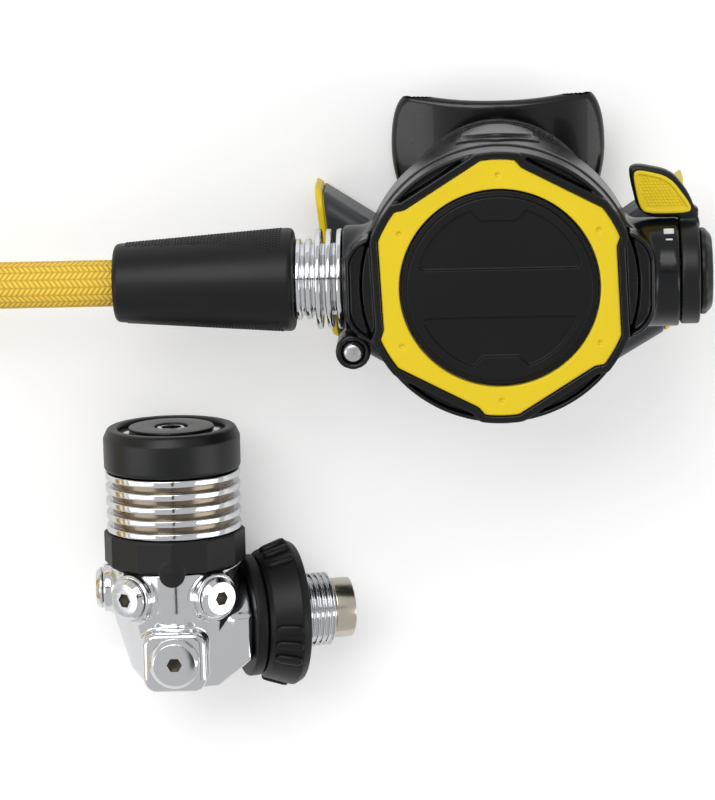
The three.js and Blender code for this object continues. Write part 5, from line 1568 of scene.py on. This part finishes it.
class REGULATOR_OT_controls(bpy.types.Operator):
    """Builds the air-flow lever with its yellow pad, and the breathing-effort knob"""
    bl_idname = "regulator.controls"
    bl_label = "Lever and knob"

    def execute(self, context):
        lever = field_piece("lever", lever_field, (37, -16.4, -37.4), (59.8, 34, -4.6), fine(context, 0.42),
                            SECOND, satin_plastic())
        place(lever, "flow_lever", "black_shell", "venturi_lever")
        pad = field_piece("pad", pad_field, (38.6, 17.2, -18.7), (58.2, 33, -16.2), fine(context, 0.25),
                          SECOND, yellow_plastic())
        place(pad, "flow_lever", "yellow_trim", "lever_pad")
        spots = []
        for i in range(-3, 40):
            for k in range(-10, 30):
                x, y = 40 + 1.05 * (i + 0.5 * k), 18 + 0.91 * k
                if 38 < x < 58 and outline_distance(np.array([x]), np.array([y]), PAD)[0] < -1.6:
                    spots.append((Vector((x, y, -17.35)), Vector((0, 0, 1)), Vector((0.8, 0.6, 0))))
        size = context.scene.mould_settings.stud
        studs = repeat("pad_studs", spots, dome_mesh(6, 0.7), size * 0.9, SECOND, yellow_plastic())
        place(studs, "flow_lever", "yellow_trim")
        profile = [(0, KNOB_START), (12.9, KNOB_START), (12.9, KNOB_START + 1.6), (10.6, KNOB_START + 3.6),
                   (0, KNOB_START + 4)]
        profile = rounded(profile, 1.4, 6)

        def scallop(reach, height, angle):
            return reach * (1 - 0.022 * (0.5 + 0.5 * math.cos(12 * angle)) ** 1.5)

        knob = lathe("knob", profile, ON_BARREL, satin_plastic(), KNOB_SIDES, scallop)
        place(knob, "knob", "black_shell", "adjusting_knob")
        return {"FINISHED"}


class REGULATOR_OT_mouth(bpy.types.Operator):
    """Builds the mouthpiece and the strap that holds it"""
    bl_idname = "regulator.mouth"
    bl_label = "Mouthpiece"

    def execute(self, context):
        mouth = field_piece("mouth", mouthpiece_field, (-34.5, 8, -80), (34.5, 46.5, -54.5),
                            fine(context, 0.6), SECOND, mouth_rubber())
        place(mouth, "set_body", "soft_cover", "mouthpiece")
        strap = field_piece("strap", strap_field, (-21, 9.5, -61), (21, 42, -56.4), fine(context, 0.35),
                            SECOND, satin_plastic())
        place(strap, "set_body", "black_shell", "mouthpiece_strap")
        return {"FINISHED"}


class REGULATOR_OT_exhaust(bpy.types.Operator):
    """Builds the exhaust tee and the yellow trims of its outlets"""
    bl_idname = "regulator.exhaust"
    bl_label = "Exhaust tee"

    def execute(self, context):
        tee = field_piece("tee", tee_field, (-57, -38, -74), (57, 22, -31), fine(context, 0.75), SECOND,
                          tee_rubber())
        place(tee, "set_body", "grey_rubber", "exhaust_tee")
        for side, low, high in (("left", -57.5, -48.5), ("right", 48.5, 57.5)):
            trim = field_piece(f"trim_{side}", trim_field, (low, -26, -75.5), (high, 23, -43),
                               fine(context, 0.4), SECOND, yellow_plastic())
            place(trim, "set_body", "yellow_trim", f"tee_trim_{side}")
        return {"FINISHED"}


class REGULATOR_OT_body(bpy.types.Operator):
    """Builds the first stage's body with its port plugs"""
    bl_idname = "regulator.body"
    bl_label = "First stage body"

    def execute(self, context):
        body = field_piece("body", body_field, (-27, -27, -0.8), (27, 27, 38.4), fine(context, 0.42), FIRST,
                           chrome_metal())
        place(body, "set_body", "chrome", "first_stage_body")
        for name, angle, height, radius, face in port_places():
            head = face + PLUG_HEAD
            thread, foot = PLUG_THREAD_RADIUS, face - PLUG_THREAD_LENGTH
            profile = [(0, foot), (thread, foot), (thread, face), (radius, face),
                       (radius, head - PLUG_CHAMFER)]
            profile += [(radius - PLUG_CHAMFER, head), (SOCKET_RIM, head), (SOCKET_RADIUS, head, HEX_SIDES)]
            profile += [(SOCKET_RADIUS, head - SOCKET_DEPTH, HEX_SIDES), (0, head - SOCKET_DEPTH)]
            plug = lathe(name + "_head", rounded(profile, 0.5), at_port(angle, height), chrome_metal(),
                         PLUG_SIDES)
            place(plug, "set_body", "chrome", name)
            # A dark disc at the bottom of each hex socket: painted shade of the hole, not a different metal.
            low = head - 1.75
            floor = [(0, low), (1.95, low, HEX_SIDES), (1.95, low + 0.9, HEX_SIDES), (1.2, low + 0.5),
                     (0, low + 0.5)]
            socket = lathe(name + "_socket", floor, at_port(angle, height), socket_painted_shade(), PLUG_SIDES)
            place(socket, "set_body", "chrome")
        return {"FINISHED"}


class REGULATOR_OT_spring_case(bpy.types.Operator):
    """Builds the ridged spring barrel, its collar and the cap with its plate"""
    bl_idname = "regulator.spring_case"
    bl_label = "Spring barrel and cap"

    def execute(self, context):
        profile = [(SPRING_BORE, 39.3), (BARREL_NECK, 39.3), (BARREL_NECK, FINS_BOTTOM)]
        ridge = FINS_HEIGHT / (2 * RIDGES - 1)
        for i in range(RIDGES):
            low = FINS_BOTTOM + 2 * i * ridge
            profile += [(RIDGE_RADIUS, low), (RIDGE_RADIUS, low + ridge)]
            if i < RIDGES - 1:
                profile += [(GROOVE_RADIUS, low + ridge), (GROOVE_RADIUS, low + 2 * ridge)]
        profile.append((SPRING_BORE, FINS_BOTTOM + FINS_HEIGHT))
        fins = lathe("ridged_barrel", rounded(profile, 0.45), FIRST, chrome_metal(), ROUND_SIDES)
        place(fins, "set_body", "chrome", "spring_barrel")
        # Bands on the groove floors carry painted shade of the grooves.
        for i in range(RIDGES - 1):
            low = FINS_BOTTOM + (2 * i + 1) * ridge
            band = rounded([(18.3, low), (18.75, low), (18.75, low + ridge), (18.3, low + ridge)], 0.1)
            place(lathe(f"groove_{i + 1}", band, FIRST, groove_painted_shade(), ROUND_SIDES), "set_body", "chrome")
        collar = field_piece("collar", collar_field, (-22.4, -22.4, 33), (22.4, 22.4, 48.4),
                             fine(context, 0.42), FIRST, plain_rubber())
        place(collar, "set_body", "black_rubber", "protector_collar")
        top = CAP_BOTTOM + CAP_HEIGHT
        profile = [(5.2, CAP_BOTTOM), (21, CAP_BOTTOM), (21, top - 3), (19.6, top), (16.4, top),
                   (16.4, top - 2.6), (5.2, top - 2.6)]
        cap = lathe("cap_shell", rounded(profile, 1.6, 8), FIRST, satin_plastic(), ROUND_SIDES)
        place(cap, "set_body", "black_shell", "cap")
        plate = field_piece("star_plate", plate_field, (-17, -17, 77.1), (17, 17, 78.8),
                            fine(context, 0.25), FIRST, chrome_metal())
        place(plate, "set_body", "chrome", "cap_plate")
        profile = rounded([(5.2, 78.7), (13.1, 78.7), (13.1, 79.9), (5.2, 79.9)], 0.4)
        disc = lathe("top_disc", profile, FIRST, ring_plastic())
        place(disc, "set_body", "black_shell", "cap_disc")
        profile = [(0, 60.2), (12.6, 60.2), (12.6, 66.2), (4.24, 66.2, HEX_SIDES), (4.24, 79.2, HEX_SIDES),
                   (3.9, 79.5, HEX_SIDES)]
        profile += [(3.0, 79.5, HEX_SIDES), (3.0, 74.5, HEX_SIDES), (0, 74.5)]
        nut = lathe("post_nut", profile, FIRST, chrome_metal(), PLUG_SIDES)
        place(nut, "set_body", "chrome", "adjusting_nut")
        return {"FINISHED"}


class REGULATOR_OT_fitting(bpy.types.Operator):
    """Builds the screw-in fitting: washer, handwheel, threaded sleeve and nose"""
    bl_idname = "regulator.fitting"
    bl_label = "Screw-in fitting"

    def execute(self, context):
        profile = [(DIN_BORE, WASHER_START), (WASHER_RADIUS, WASHER_START)]
        profile += [(WASHER_RADIUS, WASHER_END), (DIN_BORE, WASHER_END)]
        washer = lathe("washer", rounded(profile, 0.8), ON_FITTING, wheel_rubber(), ROUND_SIDES)
        place(washer, "set_body", "black_rubber", "din_washer")
        end = WHEEL_START + WHEEL_LENGTH
        profile = [(9.9, WHEEL_START), (18.4, WHEEL_START), (19.8, WHEEL_START + 1.4), (22.8, end - 2.8),
                   (21.4, end)]
        profile += [(16.4, end), (15, end - 2.6), (9.9, end - 2.6)]
        wheel = lathe("handwheel", rounded(profile, 1.2, 6), ON_FITTING, wheel_rubber(), WHEEL_SIDES)
        place(wheel, "handwheel", "black_rubber", "din_handwheel")
        slope = math.atan2(3.0, 8.4)
        spots = []
        for group in range(4):
            for i in (-1, 0, 1):
                angle = group * math.pi / 2 + math.radians(14) * i + PORT_TURN + math.pi / 2
                out = Vector((math.cos(angle), math.sin(angle), 0))
                up = Vector((0, 0, 1))
                way = (up * math.cos(slope) + out * math.sin(slope)).normalized()
                lift = (out * math.cos(slope) - up * math.sin(slope)).normalized()
                spots.append((out * 21.35 + up * (WHEEL_START + 5.6), lift, way))
        ribs = repeat("wheel_ribs", spots, rib_mesh(0.0043, 0.0016, 0.0011), 1.0, ON_FITTING, wheel_rubber())
        place(ribs, "handwheel", "black_rubber")
        bore, start = DIN_BORE, end + GAP
        profile = [(bore, WHEEL_START + GAP), (9.6, WHEEL_START + GAP), (9.6, start)]
        pitch = THREAD_LENGTH / THREAD_TURNS
        for i in range(THREAD_TURNS):
            low = start + i * pitch
            profile += [(THREAD_ROOT, low), (THREAD_ROOT, low + 0.2 * pitch),
                        (THREAD_CREST, low + 0.5 * pitch),
                        (THREAD_CREST, low + 0.7 * pitch)]
        profile += [(THREAD_ROOT, start + THREAD_LENGTH), (bore, start + THREAD_LENGTH)]
        sleeve = lathe("thread_sleeve", rounded(profile, 0.2, 3), ON_FITTING, chrome_metal(), ROUND_SIDES)
        place(sleeve, "handwheel", "chrome", "din_thread_sleeve")
        nose, tip = start + 10.8, start + 17.2
        profile = [(2.6, 13.6), (6.2, 13.6), (6.2, 21), (7.5, 21), (7.5, nose), (9.3, nose), (9.3, tip)]
        profile += [(7.7, tip), (7.7, tip - 1.2), (5.5, tip - 1.2), (5.5, tip), (4.2, tip),
                    (4.2, tip - 6.4), (2.6, tip - 6.4)]
        stem = lathe("nose", rounded(profile, 0.5), ON_FITTING, nickel_metal(), ROUND_SIDES)
        place(stem, "set_body", "nickel", "din_stem")
        ring = torus("nose_oring", 6.6, 0.8, tip - 0.35, ON_FITTING)
        place(ring, "set_body", "black_rubber", "din_nose_oring")
        return {"FINISHED"}


class REGULATOR_OT_inner(bpy.types.Operator):
    """Gives the inner pieces, which keep their frame's meshes, their finishes"""
    bl_idname = "regulator.inner"
    bl_label = "Inner pieces"

    def execute(self, context):
        slots = {part["node"]: part["material_slot"] for part in frame["record"]["subparts"]}
        for name, node in frame["nodes"].items():
            if node.hide_render:
                continue
            made = SLOT_FINISHES[slots[name]]()
            node.data.materials.clear()
            node.data.materials.append(made)
        return {"FINISHED"}


def area_light(name, place_at, aim, size, power):
    data = bpy.data.lights.new(name, "AREA")
    data.shape = "RECTANGLE"
    data.size, data.size_y = size
    data.energy = power
    lamp = bpy.data.objects.new(name, data)
    way = Vector(place_at) - Vector(aim)
    lamp.matrix_world = Matrix.Translation(place_at) @ way.to_track_quat("Z", "Y").to_matrix().to_4x4()
    bpy.context.scene.collection.objects.link(lamp)
    return lamp


class REGULATOR_OT_studio(bpy.types.Operator):
    """Lays white paper under the set and lights it softly"""
    bl_idname = "regulator.studio"
    bl_label = "Studio"

    def dark_card(self, name, size, view):
        """A black card behind the camera, whose reflection darkens the middle of the chrome."""
        half_x, half_y = size[0] / 2, size[1] / 2
        corners = [(-half_x, -half_y, 0.15), (half_x, -half_y, 0.15), (half_x, half_y, 0.15),
                   (-half_x, half_y, 0.15)]
        mesh = bpy.data.meshes.new(name)
        mesh.from_pydata([view @ Vector(corner) for corner in corners], [], [(0, 3, 2, 1)])
        mesh.materials.append(finish("Black card", (0.004, 0.004, 0.004), 0.9))
        card = bpy.data.objects.new(name, mesh)
        bpy.context.scene.collection.objects.link(card)

    def execute(self, context):
        chosen = context.scene.studio_settings
        scene = context.scene
        scene.view_settings.view_transform = "Standard"
        mesh = bpy.data.meshes.new("paper")
        reach = 4.0
        mesh.from_pydata([(-reach, -reach, 0), (reach, -reach, 0), (reach, reach, 0), (-reach, reach, 0)],
                         [], [(0, 1, 2, 3)])
        paper = bpy.data.objects.new("paper", mesh)
        scene.collection.objects.link(paper)
        made = bpy.data.materials.new("Paper")
        made.use_nodes = True
        shader = made.node_tree.nodes["Principled BSDF"]
        shader.inputs["Base Color"].default_value = (*chosen.floor, 1)
        shader.inputs["Roughness"].default_value = 0.9
        inner, wires = made.node_tree.nodes, made.node_tree.links
        ray, glow = inner.new("ShaderNodeLightPath"), inner.new("ShaderNodeMath")
        glow.operation = "MULTIPLY"
        glow.inputs[1].default_value = chosen.glow
        wires.new(ray.outputs["Is Camera Ray"], glow.inputs[0])
        wires.new(glow.outputs["Value"], shader.inputs["Emission Strength"])
        shader.inputs["Emission Color"].default_value = (1, 1, 1, 1)
        mesh.materials.append(made)
        self.dark_card("card_tall", (0.09, 1.3), scene.camera.matrix_world)
        self.dark_card("card_wide", (1.3, 0.10), scene.camera.matrix_world)
        world = bpy.data.worlds.new("Studio")
        scene.world = world
        world.use_nodes = True
        nodes, links = world.node_tree.nodes, world.node_tree.links
        nodes.clear()
        path = nodes.new("ShaderNodeLightPath")
        seen, lit = nodes.new("ShaderNodeBackground"), nodes.new("ShaderNodeBackground")
        blend, out = nodes.new("ShaderNodeMixShader"), nodes.new("ShaderNodeOutputWorld")
        seen.inputs["Color"].default_value = (1, 1, 1, 1)
        lit.inputs["Color"].default_value = (1, 1, 1, 1)
        lit.inputs["Strength"].default_value = chosen.surround
        links.new(path.outputs["Is Camera Ray"], blend.inputs["Fac"])
        links.new(lit.outputs["Background"], blend.inputs[1])
        links.new(seen.outputs["Background"], blend.inputs[2])
        links.new(blend.outputs["Shader"], out.inputs["Surface"])
        area_light("Key", (-0.5, 0.75, 1.2), (0, 0, 0), (1.2, 0.8), chosen.key)
        area_light("Fill_left", (-1.3, -0.2, 0.7), (0, 0, 0), (0.5, 1.2), chosen.fill)
        area_light("Fill_right", (1.2, -0.3, 0.9), (0, 0, 0), (0.4, 1.2), chosen.fill)
        return {"FINISHED"}


STEPS = (
    REGULATOR_OT_camera,
    REGULATOR_OT_hose,
    REGULATOR_OT_front,
    REGULATOR_OT_case,
    REGULATOR_OT_inlet,
    REGULATOR_OT_controls,
    REGULATOR_OT_mouth,
    REGULATOR_OT_exhaust,
    REGULATOR_OT_body,
    REGULATOR_OT_spring_case,
    REGULATOR_OT_fitting,
    REGULATOR_OT_inner,
    REGULATOR_OT_studio,
)


class REGULATOR_PT_panel(bpy.types.Panel):
    """Lists the settings and the steps in the sidebar"""
    bl_idname = "REGULATOR_PT_panel"
    bl_label = "Regulator"
    bl_space_type = "VIEW_3D"
    bl_region_type = "UI"
    bl_category = "Regulator"

    def draw(self, context):
        for label, group in SETTINGS:
            chosen = getattr(context.scene, label)
            for name in group.__annotations__:
                self.layout.prop(chosen, name)
        for step_class in STEPS:
            self.layout.operator(step_class.bl_idname)


CLASSES = (*[group for _, group in SETTINGS], *STEPS, REGULATOR_PT_panel)


def register():
    for made in CLASSES:
        bpy.utils.register_class(made)
    for label, group in SETTINGS:
        setattr(bpy.types.Scene, label, PointerProperty(type=group))


def unregister():
    for label, _ in SETTINGS:
        delattr(bpy.types.Scene, label)
    for made in reversed(CLASSES):
        bpy.utils.unregister_class(made)


def main():
    register()
    for step_class in STEPS:
        group, name = step_class.bl_idname.split(".")
        getattr(getattr(bpy.ops, group), name)()


if __name__ == "__main__":
    main()
